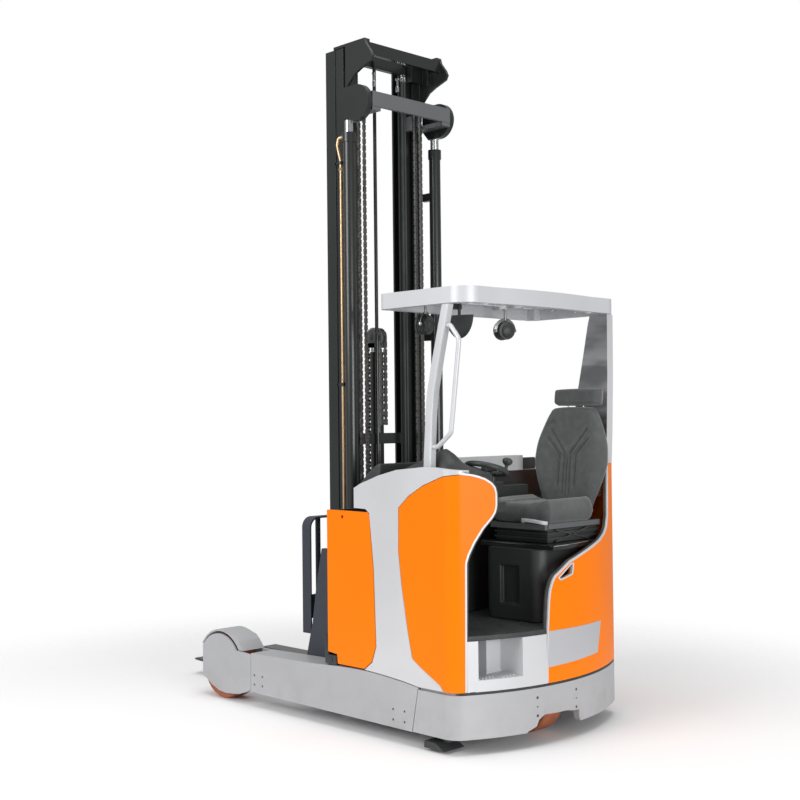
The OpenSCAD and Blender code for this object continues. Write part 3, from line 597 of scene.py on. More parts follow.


# inner face of the rear post: brushed grain in the roughness, and a painted reflection in the colour, bands
# from light to dark
brushed_and_painted_reflection = Finish("brushed_sheet_painted_reflection")
painted_reflection_band = brushed_and_painted_reflection.noise(6.0, 3.0, 0.5, brushed_and_painted_reflection.stretched(1.0, 0.4, 1.6))
tone = brushed_and_painted_reflection.mix(painted_reflection_band.ramp(0.35, 0.65), linear(118, 119, 122), linear(178, 179, 182))
brushed_and_painted_reflection.set(base_color=tone, metallic=0.55, roughness=(painted_reflection_band * 0.2 + 0.22).clamped())
finishes["brushed_sheet_painted_reflection"] = brushed_and_painted_reflection.material

half = 635.0
refinished("yoke", ("dark_steel", "chrome_rod"), yoke_finish)
refinished("side_console", ("grey_plastic",), lambda x, y, z: z > 1291)
refinished("rear_pillar", ("brushed_sheet_painted_reflection",), lambda x, y, z: x < half - 60)

# %% [markdown]
# ## Chains
# A reach truck lifts on leaf chains: flat plates stacked side by side and riveted through, 19 mm from pin
# to pin. Only one plate is worked out, as the outline of two rounded ends with a waist. Numpy then lays
# copies of it along the strand, odd and even rows on neighbouring pitches, so that the plates lace into
# each other as real ones do.

# %% Leaf chains
PLATE_THICK = 2.0


def laid(verts, faces, places):
    """Copies of one small surface at many places: every vertex plus every offset, in one array."""
    points = np.asarray(places, float)[:, None] + np.asarray(verts, float)
    count = len(verts)
    shifted = [tuple(int(k) + i * count for k in f) for i in range(len(places)) for f in faces]
    return points.reshape(-1, 3), shifted


def chain_plate(pitch, depth, turn=6):
    """One plate round its own middle: a half circle at each pin and a waist 0.8 as wide between them."""
    a = np.linspace(-math.pi / 2, math.pi / 2, turn)
    r = depth / 2
    low = np.stack([r * np.sin(a), -pitch / 2 - r * np.cos(a)], 1)
    outline = np.concatenate([low, [[r * 0.8, 0.0]], -low, [[-r * 0.8, 0.0]]])
    verts, faces = prism(outline, -PLATE_THICK * 0.46, PLATE_THICK * 0.46)
    return verts * MM, faces


def plate_rows(width, plates):
    """Sideways place of each row of plates in a chain of the given width."""
    return np.linspace(-(width - PLATE_THICK) / 2, (width - PLATE_THICK) / 2, plates)


def chain_strand(parts, x, y, low, high, width, plates=5, pitch=19.0, depth=13.0):
    """A straight strand: rows of plates, every other row shifted by one pitch, and the pins through them."""
    verts, faces = chain_plate(pitch, depth)
    levels = np.arange(low + pitch, high - pitch, pitch * 2)
    for row, offset in enumerate(plate_rows(width, plates)):
        z = levels + (pitch if row % 2 else 0.0)
        places = np.stack([np.full(len(z), x + offset), np.full(len(z), y), z], 1)
        parts.add(*laid(verts, faces, in_frame(places)))
    z = np.arange(low + pitch / 2, high, pitch)
    pin, faces = turned([(2.6, -width / 2), (2.6, width / 2)], (0, 0, 0), (1, 0, 0), 8)
    parts.add(*laid(pin, faces, in_frame(np.stack([np.full(len(z), x), np.full(len(z), y), z], 1))))


def chain_wrap(parts, x, y, z, radius, width, plates=5, steps=10, depth=13.0):
    """The half turn over a pulley: the same plates, each turned about the pulley's axis."""
    a = np.linspace(0, math.pi, steps + 1)
    middle = (a[:-1] + a[1:]) / 2
    verts, faces = chain_plate(2 * radius * math.sin(math.pi / steps / 2), depth)
    for row, offset in enumerate(plate_rows(width, plates)):
        chosen = middle[row % 2::2, None]
        c, s = np.cos(chosen), np.sin(chosen)
        px, py, pz = verts.T
        side = np.broadcast_to(px + offset * MM, (len(chosen), len(px)))
        points = np.stack([side, py * c - pz * s + radius * MM * c, py * s + pz * c + radius * MM * s], -1)
        for link in points + at(x, y, z):
            parts.add(link, faces)


mast_top = 3620.0
chain_x, chain_y, bar_top, strand = 220.0, 1090.0, mast_top - 278, 21.5
chains, ends = Parts(), Parts()
wheel = [(8, -11), (17, -11), (17, -9.5), (14, -9), (14, 9), (17, 9.5), (17, 11), (8, 11)]
for x in (-chain_x, chain_x):
    # the front strand ends lower than the rear one
    for y, start, end in ((chain_y + strand, 712, 640), (chain_y - strand, 922, 860)):
        chain_strand(chains, x, y, start, bar_top + 8, 18)
        ends.add(*block(x - 10, x + 10, y - 7, y + 7, end + 20, end + 64))
        ends.add(*turned([(6, 0), (6, 24)], at(x, y, end), (0, 0, 1), 12))
        ends.add(*turned([(10, 4), (10, 12)], at(x, y, end), (0, 0, 1), 6))
    chain_wrap(chains, x, chain_y, bar_top + 10, strand, 18)
    ends.add(*turned(wheel, at(x, chain_y, bar_top + 10), (1, 0, 0), 32))
chain_piece = chains.build("mast_chains", "chain_steel", "middle_mast", 30)
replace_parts(chain_piece, "lift_chains")
ends.build("mast_chain_ends", "dark_steel", "middle_mast")
print("chain plates:", len(chain_piece.data.polygons), "faces")

# %% [markdown]
# ## The free-lift chain
# The ram in the middle of the mast carries a pulley, and a bright chain runs over it to the fork carriage.
# It is a wider chain of the same kind, so it comes from the same functions; the pulley is a turned wheel
# with a groove.

# %% Free-lift chain and pulley
free_y, pulley_z, pulley_r = 1220.0, 2040.0, 51
free = Parts()
for x in (-20, 20):
    chain_strand(free, x, free_y - pulley_r, pulley_z - 500, pulley_z, 20, 5, 22.0, 14.0)
    chain_strand(free, x, free_y + pulley_r, 640, pulley_z, 20, 5, 22.0, 14.0)
    chain_wrap(free, x, free_y, pulley_z, pulley_r, 20, 5, 10, 14.0)
free.build("free_lift_chain", "chain_steel", "free_lift_rod", 30)

pulley = Parts()
wheel = [(12, -34), (48, -34), (48, -32), (44, -31), (44, -9), (47, -8), (47, 8), (44, 9), (44, 31), (48, 32),
         (48, 34), (12, 34)]
pulley.add(*turned(wheel, at(0, free_y, pulley_z), (1, 0, 0), 40))
cheek = [(free_y + 40 * math.cos(a), pulley_z + 40 * math.sin(a)) for a in np.linspace(0, math.pi, 13)]
cheek += [(free_y - 34, pulley_z - 55), (free_y + 34, pulley_z - 55)]
for side in (-1, 1):
    pulley.add(*plate(cheek, *sorted((side * 36, side * 46))))
    pulley.add(*turned([(14, 0), (14, 6), (10, 8)], at(side * 46, free_y, pulley_z), (side, 0, 0), 20))
pulley.add(*block(-46, 46, free_y - 34, free_y + 34, pulley_z - 55, pulley_z - 30))
pulley.build("free_lift_pulley", "yoke_grey", "free_lift_rod")
rod = Parts().add(*turned([(26, 700), (26, pulley_z - 56)], at(0, free_y, 0), (0, 0, 1), 40))
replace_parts(rod.build("free_lift_ram", "chrome_rod", "free_lift_rod"), "free_rod")
print("free-lift pulley at", pulley_z, "mm")

# %% [markdown]
# ## Pipe and hoses
# A bare metal pipe runs up the outer mast to the top of the left lift cylinder and turns into its gland
# with two bends. It is a round profile carried along a path whose corners are rounded. Between the rails
# two rubber hoses run straight up to bright swivels, and the chains' own anchors hang beside them.

# %% Pipe, clamps and hoses
pipe_x, pipe_y, cyl_top = -347.0, 1120.0, mast_top - 486
rail_y, clamp_half = 1164, 4
bend = bent_path(in_frame([(pipe_x, pipe_y, 400), (pipe_x, pipe_y, cyl_top - 150),
                           (pipe_x - 10, pipe_y + 16, cyl_top - 60), (pipe_x - 8, pipe_y + 10, cyl_top - 20),
                           (pipe_x + 2, 1103, cyl_top - 20)]), 0.022)
pipe = Parts().add(*swept(bend, circle(8.5, 16)))
for z in (452, cyl_top - 200):
    pipe.add(*turned([(8, 0), (11.5, 1), (11.5, 15), (8, 16)], at(pipe_x, pipe_y, z), (0, 0, 1), 6))
pipe.add(*turned([(8, 0), (11, 0), (11, 12), (8, 12)], at(pipe_x + 1, 1116, cyl_top - 20), (0, -1, 0), 6))
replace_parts(pipe.build("mast_pipe_tube", "pipe_metal", "reach_mast"), "mast_pipe")
clamps = Parts()
for z in (700, 1760, cyl_top - 166):
    clamps.add(*turned([(8.5, 0), (13, 0), (13, 18), (8.5, 18)], at(pipe_x, pipe_y, z), (0, 0, 1), 20))
    clamps.add(*block(pipe_x - clamp_half, pipe_x + clamp_half, pipe_y + 10, rail_y, z + 3, z + 15))
    clamps.add(*block(pipe_x - clamp_half, -305.5, rail_y - 8, rail_y, z + 3, z + 15))
clamps.build("pipe_clamps", "dark_steel", "reach_mast")

hoses, swivels = Parts(), Parts()
for x in (118, 138):
    path = smooth_path(in_frame([(x, 1112, z) for z in (3535, 2900, 1700, 900)]), 10)
    hoses.add(*swept(path, circle(7.5, 12)))
    profile = [(8, 0), (10, 2), (10, 22), (8, 24), (8, 40), (5, 42)]
    swivels.add(*turned(profile, at(x, 1112, 3505), (0, 0, 1), 12))
for x in (-92, 92):
    profile = [(7, 0), (11, 2), (11, 30), (6, 34), (6, 66), (12, 68), (12, 80), (7, 82)]
    swivels.add(*turned(profile, at(x, 1120, 3440), (0, 0, 1), 12))
hoses.build("mast_hoses", "black_rubber", "middle_mast")
swivels.build("mast_swivels", "chrome_rod", "middle_mast")
print("pipe bend:", len(bend), "points")

# %% [markdown]
# ## Grab handle
# The handle at the front pillar is one bent tube. In the frame it is made of straight runs; here a round
# profile is carried along the same corners with real bends.

# %% Grab handle
handle_x = -561.0
corners = [(130, 2021), (112, 2021), (57, 1952), (116, 1508), (204, 1441), (231, 1441)]
grip = bent_path(in_frame([(handle_x, y, z) for y, z in corners]), 0.035)
grip_piece = Parts().add(*swept(grip, circle(11.5, 16))).build("grab_tube", "silver_panel", "chassis")
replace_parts(grip_piece, "grab_handle")
print("grab handle:", len(grip), "points")

# %% [markdown]
# ## Rims of the panels
# Where an orange panel ends, its folded edge shows as a thin silver line. The line follows the surface:
# each point of the panel's edge, given as seen from behind, is set on the bowed rear, and a thin flat
# profile is carried along it. The rear is a circle of 1180 mm radius with corners of 100 mm, so its depth
# follows from x alone.

# %% The bowed rear
corner_r, rear_r, bow_y = 100.0, 1180.0, 1050.0
corner_x = half - corner_r
corner_y = bow_y - math.sqrt((rear_r - corner_r) ** 2 - corner_x**2)


def rear_depth(x):
    """y of the rear face at x: the large circle, and past its tangent point the corner's small one."""
    x = np.asarray(x, float)
    tangent = rear_r * corner_x / (rear_r - corner_r)
    wide = bow_y - np.sqrt(np.maximum(rear_r**2 - x**2, 0))
    tight = corner_y - np.sqrt(np.maximum(corner_r**2 - (np.abs(x) - corner_x) ** 2, 0))
    return np.where(np.abs(x) < tangent, wide, tight)


def even_steps(points, step):
    """The same line with points at an even distance of about the step."""
    points = np.asarray(points, float)
    along = np.concatenate([[0], np.cumsum(np.linalg.norm(np.diff(points, axis=0), axis=1))])
    wanted = np.linspace(0, along[-1], max(2, int(along[-1] / step) + 1))
    return np.stack([np.interp(wanted, along, points[:, k]) for k in range(points.shape[1])], 1)


def rear_strip(points, lift, width, depth, step=12.0, closed=False):
    """A flat strip on the rear face along (x, z) points: lifted off it, width in the face, depth inwards."""
    line = even_steps(points + points[:1] if closed else points, step)
    if closed:
        line = line[:-1]
    x, z = line.T
    path = in_frame(np.stack([x, rear_depth(x) - lift, z], 1))
    slope = (rear_depth(x + 1) - rear_depth(x - 1)) / 2
    outward = unit(np.stack([slope, -np.ones_like(x), np.zeros_like(x)], 1))
    across = unit(np.cross(outward, tangents_of(path, closed)))
    w, chamfer = width / 2, 1.5
    profile = np.array([(-w, -depth), (w, -depth), (w, -chamfer), (w - chamfer, 0.0), (-w + chamfer, 0.0),
                        (-w, -chamfer)]) * MM
    return carried(path, profile, across, outward, closed)


def rounded_line(points, radius=18.0):
    """The line with rounded corners, as (x, z) pairs."""
    return [tuple(q) for q in bent_path(points, radius, 5)]


print("rear face at x = 0 and 600:", rear_depth([0, 600]).round(1).tolist())

# %% Rims, and dark strips of painted shade in the gaps
corner_edge = rounded_line([(-578, 298), (-573, 900), (-561, 940), (-536, 995), (-495, 1061), (-453, 1108),
                            (-436, 1135), (-430, 1165), (-430, 1220), (-436, 1248), (-453, 1270),
                            (-483, 1290), (-517, 1303), (-546, 1311), (-600, 1319)])
panel_edge = rounded_line([(-152, 298), (-146, 534), (-134, 690), (-126, 738), (-112, 775), (-92, 803),
                           (24, 868), (151, 902), (331, 947), (400, 975), (441, 1006), (465, 1060),
                           (476, 1322)])
hand_hold = rounded_line([(-66, 796), (-50, 785), (40, 805), (52, 858), (30, 856), (-66, 796)], 5.0)[:-1]
rims = Parts()
for edge in (corner_edge, panel_edge):
    rims.add(*rear_strip(edge, 1.2, 10.0, 18.0))
rims.add(*rear_strip(hand_hold, 1.2, 8.0, 16.0, 5.0, closed=True))
# the folded foot of the corner rim, which closes the slot at the step panel's lower corner
rims.add(*rear_strip([(-541, 298), (-541, 344)], -0.8, 48.0, 10.0))
rims.build("panel_rims", "silver_panel", "chassis", 30)

# inside each rim a dark strip, painted shade, stands a little behind the edge; the step panel hides the first
# low down
gap_shade_strips = Parts()
for edge, inward, lowest in ((corner_edge, 11.0, 540.0), (panel_edge, -11.0, 298.0)):
    gap_shade_strips.add(*rear_strip([(x + inward, max(z, lowest)) for x, z in edge], -9.0, 16.0, 10.0))
# a dark strip in the gap between the painted chassis and the panels above it: painted shade
gap_shade_strips.add(*rear_strip([(-half + 35, 289.5), (half - 35, 289.5)], -1.5, 9.0, 12.0))
gap_shade_strips.build("panel_gap_shade", "black_rubber", "chassis", 30)
print("rims:", len(corner_edge), "and", len(panel_edge), "corner points")

# %% [markdown]
# ## Steering wheel
# The small wheel is a ring of grained foam on three flat spokes, and the driver turns it by a knob on a
# short stalk. The ring is a torus; the knob is a turned profile, like a chess pawn.

# %% Steering wheel
column_top = at(-285.0, 140.0, 1322.0)
tilt = math.radians(18)
wheel_up = np.array([math.sin(tilt), 0.0, math.cos(tilt)])
wheel_side = np.array([math.cos(tilt), 0.0, -math.sin(tilt)])
wheel_front = np.array([0.0, 1.0, 0.0])


def on_wheel(a, radius, height):
    """Points at the angles a, at a radius and height in millimetres of the tilted wheel."""
    a, radius, height = np.broadcast_arrays(a, radius, height)
    ring = np.cos(a)[..., None] * wheel_side + np.sin(a)[..., None] * wheel_front
    return column_top + (ring * radius[..., None] + wheel_up * height[..., None]) * MM


ring = Parts()
turn = np.linspace(0, 2 * math.pi, 72, endpoint=False)
ring.add(*swept(on_wheel(turn, 99.0, 6.0), circle(14, 18), closed=True))
reach = np.linspace(18, 94, 7)
for a in (0.35, 2.45, 4.55):
    spoke = on_wheel(a, reach, -6 + 12 * (reach / 94) ** 2)
    ring.add(*swept(spoke, [(-13, -4), (13, -4), (16, 0), (13, 4), (-13, 4), (-16, 0)]))
ring.add(*turned([(9, -22), (27, -20), (30, -4), (28, 8), (20, 13), (6, 15)], column_top, wheel_up, 32))
knob = [(10, 0), (9, 12), (7.5, 26), (9, 40), (17, 46), (24, 54), (26, 63), (23, 71), (14, 77), (4, 79)]
ring.add(*turned(knob, on_wheel(-0.55, 96.0, 8.0), wheel_up, 28))
ring_piece = ring.build("steering_ring", "black_plastic", "steering_wheel", 50)
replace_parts(ring_piece, "steering_wheel")
print("steering ring:", len(ring_piece.data.vertices), "points")

# %% [markdown]
# ## The seat's cushions
# A cushion is a foam block inside a sewn cover: round edges, a plump middle and stitched channels that pull
# the cloth down. Its outline follows the frame's. Every point of a grid over the outline gets a height:
# full in the middle, falling to nothing at the edge along a quarter circle, and lowered again along each
# channel by a narrow bell curve with a slight swell beside it. The two halves, face and back, meet in the
# seam round the edge.

# %% Cushion surface
def distance_to_line(points, line):
    """Least distance from each point to a line of points, all pairs at once."""
    a, b = line[:-1][None], line[1:][None]
    p = points[:, None]
    ab = b - a
    t = np.clip(np.sum((p - a) * ab, -1) / np.maximum(np.sum(ab * ab, -1), 1e-9), 0, 1)
    return np.linalg.norm(p - (a + t[..., None] * ab), axis=-1).min(1)


def closed_curve(outline, steps):
    """A smooth closed outline through the given pairs."""
    return smooth_path(outline + outline[:1], steps)[:-1]


def pillow(outline, rings, face_depth, back_depth, edge, channels=(), channel_depth=0.0, channel_width=5.0,
           extra=None):
    """Closed cushion in mm: rings shrink to the middle, and the height is edge roll minus channels."""
    line = even_steps(np.concatenate([outline, outline[:1]]), 9.0)[:-1]
    middle = outline.mean(0)
    share = 1 - np.linspace(0, 1, rings, endpoint=False)
    flat = np.concatenate([(middle + share[:, None, None] * (line - middle)).reshape(-1, 2), middle[None]])
    inside = distance_to_line(flat, np.concatenate([line, line[:1]]))
    roll = np.sqrt(1 - (1 - np.clip(inside / edge, 0, 1)) ** 2)
    face = face_depth * roll + (extra(*flat.T) * roll if extra else 0.0)
    fade = np.minimum(1, inside / 22)
    for channel in channels:
        gap = distance_to_line(flat, np.asarray(channel, float))
        face = face - channel_depth * np.exp(-((gap / channel_width) ** 2)) * fade
        face = face + 3.0 * np.exp(-(((gap - 13) / 9) ** 2)) * fade
    n, count = len(line), len(flat)
    top = np.concatenate([flat, face[:, None]], 1)
    bottom = np.concatenate([flat[n:], -back_depth * roll[n:, None]], 1)
    k = np.arange(n)
    after = (k + 1) % n
    last_top, last_bottom = (rings - 1) * n, count + (rings - 2) * n
    tip = np.full(n, last_bottom + n)
    faces = [tuple(f) for f in grid_faces(rings, n)]
    faces += [tuple(f) for f in np.stack([last_top + k, last_top + after, np.full(n, count - 1)], 1)]
    faces += [tuple(f) for f in np.stack([after, k, count + k, count + after], 1)]
    faces += [tuple(f) for f in grid_faces(rings - 1, n)[:, ::-1] + count]
    faces += [tuple(f) for f in np.stack([last_bottom + after, last_bottom + k, tip], 1)]
    return np.concatenate([top, bottom]), faces


def placed(points, origin, right, up, out):
    """Points given as (right, up, out) in millimetres, set in the frame at the origin."""
    return at(*origin) + (points[:, :1] * right + points[:, 1:2] * up + points[:, 2:] * out) * MM


def upholstered(name, node, cushion, origin, axes):
    """A cushion as a padded piece in seat cloth that stands for a node of the frame."""
    verts, faces = cushion
    cover = piece(name, placed(verts, origin, *axes), faces, "seat_fabric", "chassis", 60)
    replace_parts(cover, node)
    print(name, len(verts), "points")


print("a pillow of 3 rings has", len(pillow(circle(50.0, 40), 3, 10.0, 10.0, 20.0)[0]), "points")

# %% [markdown]
# ### Back rest
# The back leans seven degrees and carries the stitched pattern of the real seat: two V shapes at shoulder
# height that run together into upright channels over the small of the back.

# %% Back rest
lean = math.radians(7)
back_up = np.array([math.sin(lean), 0.0, math.cos(lean)])
back_out = np.array([-math.cos(lean), 0.0, math.sin(lean)])
back_axes = (np.array([0.0, -1.0, 0.0]), back_up, back_out)
half_back = [(110, 4), (168, 92), (208, 190), (229, 265), (231, 315), (221, 392), (189, 476), (150, 550),
             (108, 574)]
back_outline = [(-110, 4)] + half_back + [(-x, z) for x, z in half_back[:0:-1]]
channels = [[(0, 300), (0, 100)], [(-150, 470), (-106, 500)]]
for shift in (0.0, 34.0):
    for s in (-1, 1):
        low_x = s * (20 + shift)
        channels.append([(s * (118 + shift * 0.4), 452 - shift * 1.5), (low_x, 330 - shift * 0.3),
                         (low_x, 110 + shift)])


def side_bolsters(x, z):
    """Extra height toward both sides at the small of the back."""
    return 20.0 * np.clip((np.abs(x) - 95) / 70, 0, 1) * np.exp(-(((z - 240) / 190) ** 2))


back = pillow(closed_curve(back_outline, 4), 26, 34.0, 40.0, 52.0, channels, 8.0, 6.5, side_bolsters)
upholstered("seat_back_cover", "seat_back", back, (396, 175, 1060), back_axes)

# %% [markdown]
# ### Head rest and cushion
# The head rest is a soft bar on two thin posts. The cushion has its front corners rounded, a dip in the
# middle and side rolls that hold the driver.

# %% Head rest
head_outline = [(-112, 584), (20, 582), (150, 584), (164, 596), (164, 660), (150, 672), (20, 675),
                (-110, 672), (-124, 660), (-124, 596)]
head = pillow(closed_curve(head_outline, 4), 14, 40.0, 36.0, 18.0)
upholstered("head_rest_cover", "head_rest", head, (402, 175, 1060), back_axes)
posts = Parts()
for side in (-52, 52):
    ends = np.array([(side, 540, 0), (side, 610, 0)], float)
    posts.add(*swept(placed(ends, (408, 175, 1060), *back_axes), circle(5.5, 12)))
posts.build("head_rest_posts", "chrome_rod", "chassis")

# %% Seat cushion
seat_y = 175
cushion_outline = [(-5, -30), (120, -34), (250, -34), (345, -30), (352, 60), (354, 175), (352, 300),
                   (345, 378), (250, 384), (110, 382), (20, 372), (-18, 330), (-30, 250), (-32, 175),
                   (-30, 90), (-22, 10)]
seams = [[(-20, 75), (120, 66), (340, 66)], [(-20, 275), (120, 284), (340, 284)],
         [(60, 70), (52, 175), (60, 280)]]


def seat_dip(x, y):
    """Side rolls along both long edges, and a dip between them."""
    side = np.clip((np.abs(y - seat_y) - 110) / 70, 0, 1)
    return 26.0 * side - 10.0 * np.exp(-(((x - 200) / 120) ** 2) - ((y - seat_y) / 90) ** 2)


cushion = pillow(closed_curve(cushion_outline, 5), 24, 48.0, 52.0, 44.0, seams, 7.0, 6.0, seat_dip)
upholstered("seat_cushion_cover", "seat_cushion", cushion, (0, 0, 1097), np.eye(3))

# %% [markdown]
# ## Seat frame and suspension
# Under the cushion is a steel frame on a sprung scissor: two side rails, a rubber bellows with folds, a
# bright release lever at the front and a plate with a polished front edge where boots rub.

# %% Rails, bellows, lever and plate
rails = Parts()
for y0, y1 in ((-14, 4), (336, 354)):
    rails.add(*block(2, 420, y0, y1, 1020, 1046))
rails.add(*block(-22, 6, -8, 350, 1016, 1044))
rails.build("seat_rails", "yoke_grey", "chassis")
folds = Parts()
for k in range(5):
    z = 951 + k * 13
    grow = 10 if k % 2 else 0
    folds.add(*block(12 - grow, 418, 4 - grow, 336 + grow, z, z + 12.2))
folds.build("seat_bellows", "black_rubber", "chassis")
links = Parts()
for y in (-3.0, 342.0):
    for z0, z1 in ((955, 1014), (1014, 955)):
        links.add(*swept([at(60, y, z0), at(330, y, z1)], [(-9, -3), (9, -3), (9, 3), (-9, 3)]))
    links.add(*turned([(9, -6), (9, 6)], at(195, y, 985), (0, 1, 0), 20))
links.build("seat_links", "wheel_steel", "chassis")
path = smooth_path(in_frame([(-20, -20, 1052), (-46, -12, 1056), (-52, 40, 1062), (-50, 110, 1064),
                             (-24, 128, 1054)]), 8)
grip = [(-4, -9), (4, -9), (6, -4), (6, 4), (4, 9), (-4, 9), (-6, 4), (-6, -4)]
Parts().add(*swept(path, grip)).build("seat_lever", "grey_plastic", "chassis")
plan = [(-60, 385), (-60, -90), (60, -90), (330, -43), (455, 0), (455, 385)]
shaped = Parts().add(*plate(plan, 925, 948, "z")).build("seat_plate_shaped", "dark_steel", "chassis")
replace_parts(shaped, "seat_plate")
path = bent_path(in_frame([(-58, 380, 945), (-58, -88, 945), (60, -88, 945), (328, -41, 945),
                           (452, 3, 945)]), 0.012)
Parts().add(*swept(path, circle(3.2, 10))).build("seat_plate_edge", "chrome_rod", "chassis")
print("seat plate edge:", len(path), "points")

# %% [markdown]
# ## Lamps and roof
# Two round work lamps hang under the roof. Seen from behind, each is a black bowl with cooling ribs round
# it and a bright stirrup; its lens looks forward to the forks. The bowl is a turned profile whose steps are
# the ribs. Small recessed lights and screws sit on the underside of the roof's rim.

# %% Work lamps
guard_low, stirrup_r = 2125.0, 58
lens = Finish("lamp_lens")
lens.set(base_color=(0.9, 0.92, 0.94, 1.0), roughness=0.12, metallic=0.0, coat_weight=0.6)
finishes["lamp_lens"] = lens.material
upright = np.array([0, 0, 1.0])
bowl = [(10, -40), (26, -38), (33, -33), (36, -26)]
for k in range(6):
    z = -24 + k * 8
    bowl += [(47 + k * 0.8, z), (47.6 + k * 0.8, z + 4), (38 + k * 1.6, z + 4.6), (38.6 + k * 1.6, z + 7.6)]
bowl += [(53, 26), (54, 34), (49, 36), (46, 31)]
bowls, glass, stirrups = Parts(), Parts(), Parts()
for x, y, degrees in ((-462.0, 374.0, 20.0), (180.0, 410.0, -20.0)):
    turn, dip = math.radians(degrees), math.radians(6)
    ahead = np.array([-math.sin(turn) * math.cos(dip), math.cos(turn) * math.cos(dip), math.sin(dip)])
    centre = at(x, y, guard_low - 82)
    bowls.add(*turned(bowl, centre, ahead, 40))
    glass.add(*turned([(46, 30), (45, 33), (30, 36), (12, 37.5), (2, 38)], centre, ahead, 40))
    sideways = unit(np.cross(ahead, upright))
    a = np.linspace(-0.15, math.pi + 0.15, 15)[:, None]
    arch = centre + stirrup_r * MM * (np.cos(a) * sideways + np.sin(a) * upright)
    stirrups.add(*swept(arch, [(-1.5, -8), (1.5, -8), (1.5, 8), (-1.5, 8)]))
    stirrups.add(*turned([(7, 0), (7, 60)], at(x, y, guard_low - 28), upright, 16))
    stirrups.add(*turned([(15, 0), (15, 7)], at(x, y, guard_low + 26), upright, 6))
    for side in (-sideways, sideways):
        stirrups.add(*turned([(9, 0), (9, 6), (6, 7)], centre + stirrup_r * MM * side, side, 6))
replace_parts(bowls.build("lamp_bowls", "black_plastic", "chassis", 30), "work_lights")
glass.build("lamp_lenses", "lamp_lens", "chassis")
stirrups.build("lamp_stirrups", "chain_steel", "chassis")
print("lamp bowl:", len(bowl), "profile points")

# %% Roof lights and screws
roof_lights, screws = Parts(), Parts()
for x, y in ((-480.0, 60.0), (-392.0, 42.0), (420.0, 40.0)):
    roof_lights.add(*turned([(17, 0), (17, 3), (12, 4.5), (3, 5)], at(x, y, guard_low + 1), (0, 0, -1), 24))
for x in (-540.0, -300.0, -80.0, 150.0, 340.0, 560.0):
    screws.add(*turned([(7, 0), (7, 3), (5, 4)], at(x, 66, guard_low + 1), (0, 0, -1), 6))
roof_lights.build("roof_lights", "lamp_lens", "chassis")
screws.build("roof_screws", "chain_steel", "chassis")
print("roof lights and screws:", roof_lights.count, "and", screws.count, "points")

# %% [markdown]
# ## Dash hood
# Beside the front pillar a black moulding rises to a soft peak and falls away to the rear edge. It is a
# height field: the ridge is a line of measured heights along y, and across x it drops off as about the root
# of a sine.

# %% Dash hood
rows, columns = 30, 60
u, v = np.meshgrid(np.linspace(0, 1, rows), np.linspace(0, 1, columns), indexing="ij")
hood_x, hood_y, hood_low, hood_foot = -537 + 150 * u, 14 + 526 * v, 1310, 1262
ridge = np.interp(hood_y, [14, 60, 120, 168, 205, 245, 300, 400, 540],
                  [1312, 1336, 1352, 1374, 1408, 1430, 1418, 1372, 1314])
hood_z = hood_low + (ridge - hood_low) * np.clip(np.sin(math.pi * u), 0, 1) ** 0.55
points = in_frame(np.stack([hood_x, hood_y, hood_z], -1).reshape(-1, 3))
foot = points * [1, 1, 0] + [0, 0, hood_foot * MM]
count = len(points)
skin = grid_faces(rows, columns, wrap_columns=False)
border = np.concatenate([np.arange(columns), np.arange(1, rows) * columns + columns - 1,
                         (rows - 1) * columns + np.arange(columns - 2, -1, -1),
                         np.arange(rows - 2, 0, -1) * columns])
after = np.roll(border, -1)
walls = np.stack([border, border + count, after + count, after], 1)
hood_cover = piece("dash_hood", np.concatenate([points, foot]), [*skin[:, ::-1], *(skin + count), *walls],
                   "black_plastic", "chassis", 60)
shape = bmesh.new()
shape.from_mesh(hood_cover.data)
bmesh.ops.recalc_face_normals(shape, faces=shape.faces)
shape.to_mesh(hood_cover.data)
shape.free()
print("dash hood:", count, "points")

# %% [markdown]
# ## Fasteners and studs
# Screws tell the size of everything round them. One hexagon head with a chamfer and a washer is worked out
# and then laid in every bored hole of the arms, the load-wheel guards and the skirt. The floor mat is
# pressed with a raised pattern against slipping: flat studs in rows, every second row shifted by half a
# step, wherever the plan of the floor leaves room for a boot.

# %% Bolts and the battery lock
def bolt(parts, place, axis, size):
    """A hexagon head on a washer: two turned profiles with six and with twenty sides, size in millimetres."""
    washer = np.array([(0.95, 0), (0.95, 0.12), (0.9, 0.16)])
    head = np.array([(0.62, 0.15), (0.62, 0.5), (0.5, 0.6)])
    parts.add(*turned(washer * size, place, axis, 20))
    parts.add(*turned(head * size, place, axis, 6))


heads = Parts()
for side in (-1, 1):
    for y in (1483, 1553, 376, 455):
        for z in ((125, 176) if y > 1000 else (113, 164)):
            bolt(heads, at(side * 632, y, z), (side, 0, 0), 7.5)
for x in (-217.0, 59.0):
    for z in (150.0, 236.0):
        bolt(heads, at(x, rear_depth(x) + 3, z), (0, -1, 0), 8.0)
heads.build("bolt_heads", "wheel_steel", "chassis")
lock = Parts().add(*turned([(9, 0), (9, 2), (7, 3)], at(-624, 815, 1083), (-1, 0, 0), 24))
lock.add(*block(-628.5, -626.5, 813.8, 816.2, 1077.5, 1088.5))
lock.build("battery_lock", "black_plastic", "chassis")
print("bolt surfaces:", heads.count, "points")

# %% Anti-slip studs
stud, stud_faces = turned([(7, 0), (7, 1.2), (5.5, 2.2)], (0, 0, 0), (0, 0, 1), 10)
gx, gy = np.meshgrid(np.arange(-545, -80, 26.0), np.arange(-70, 520, 22.5))
gx = (gx + 13.0 * (np.arange(gx.shape[0]) % 2)[:, None]).ravel()
gy = gy.ravel()
places = np.stack([gx, gy, np.full(len(gx), 557.0)], 1)[(gy > rear_depth(gx) + 34) & (gx < -75)]
Parts().add(*laid(stud, stud_faces, in_frame(places))).build("mat_studs", "black_rubber", "chassis")
print("studs:", len(places))

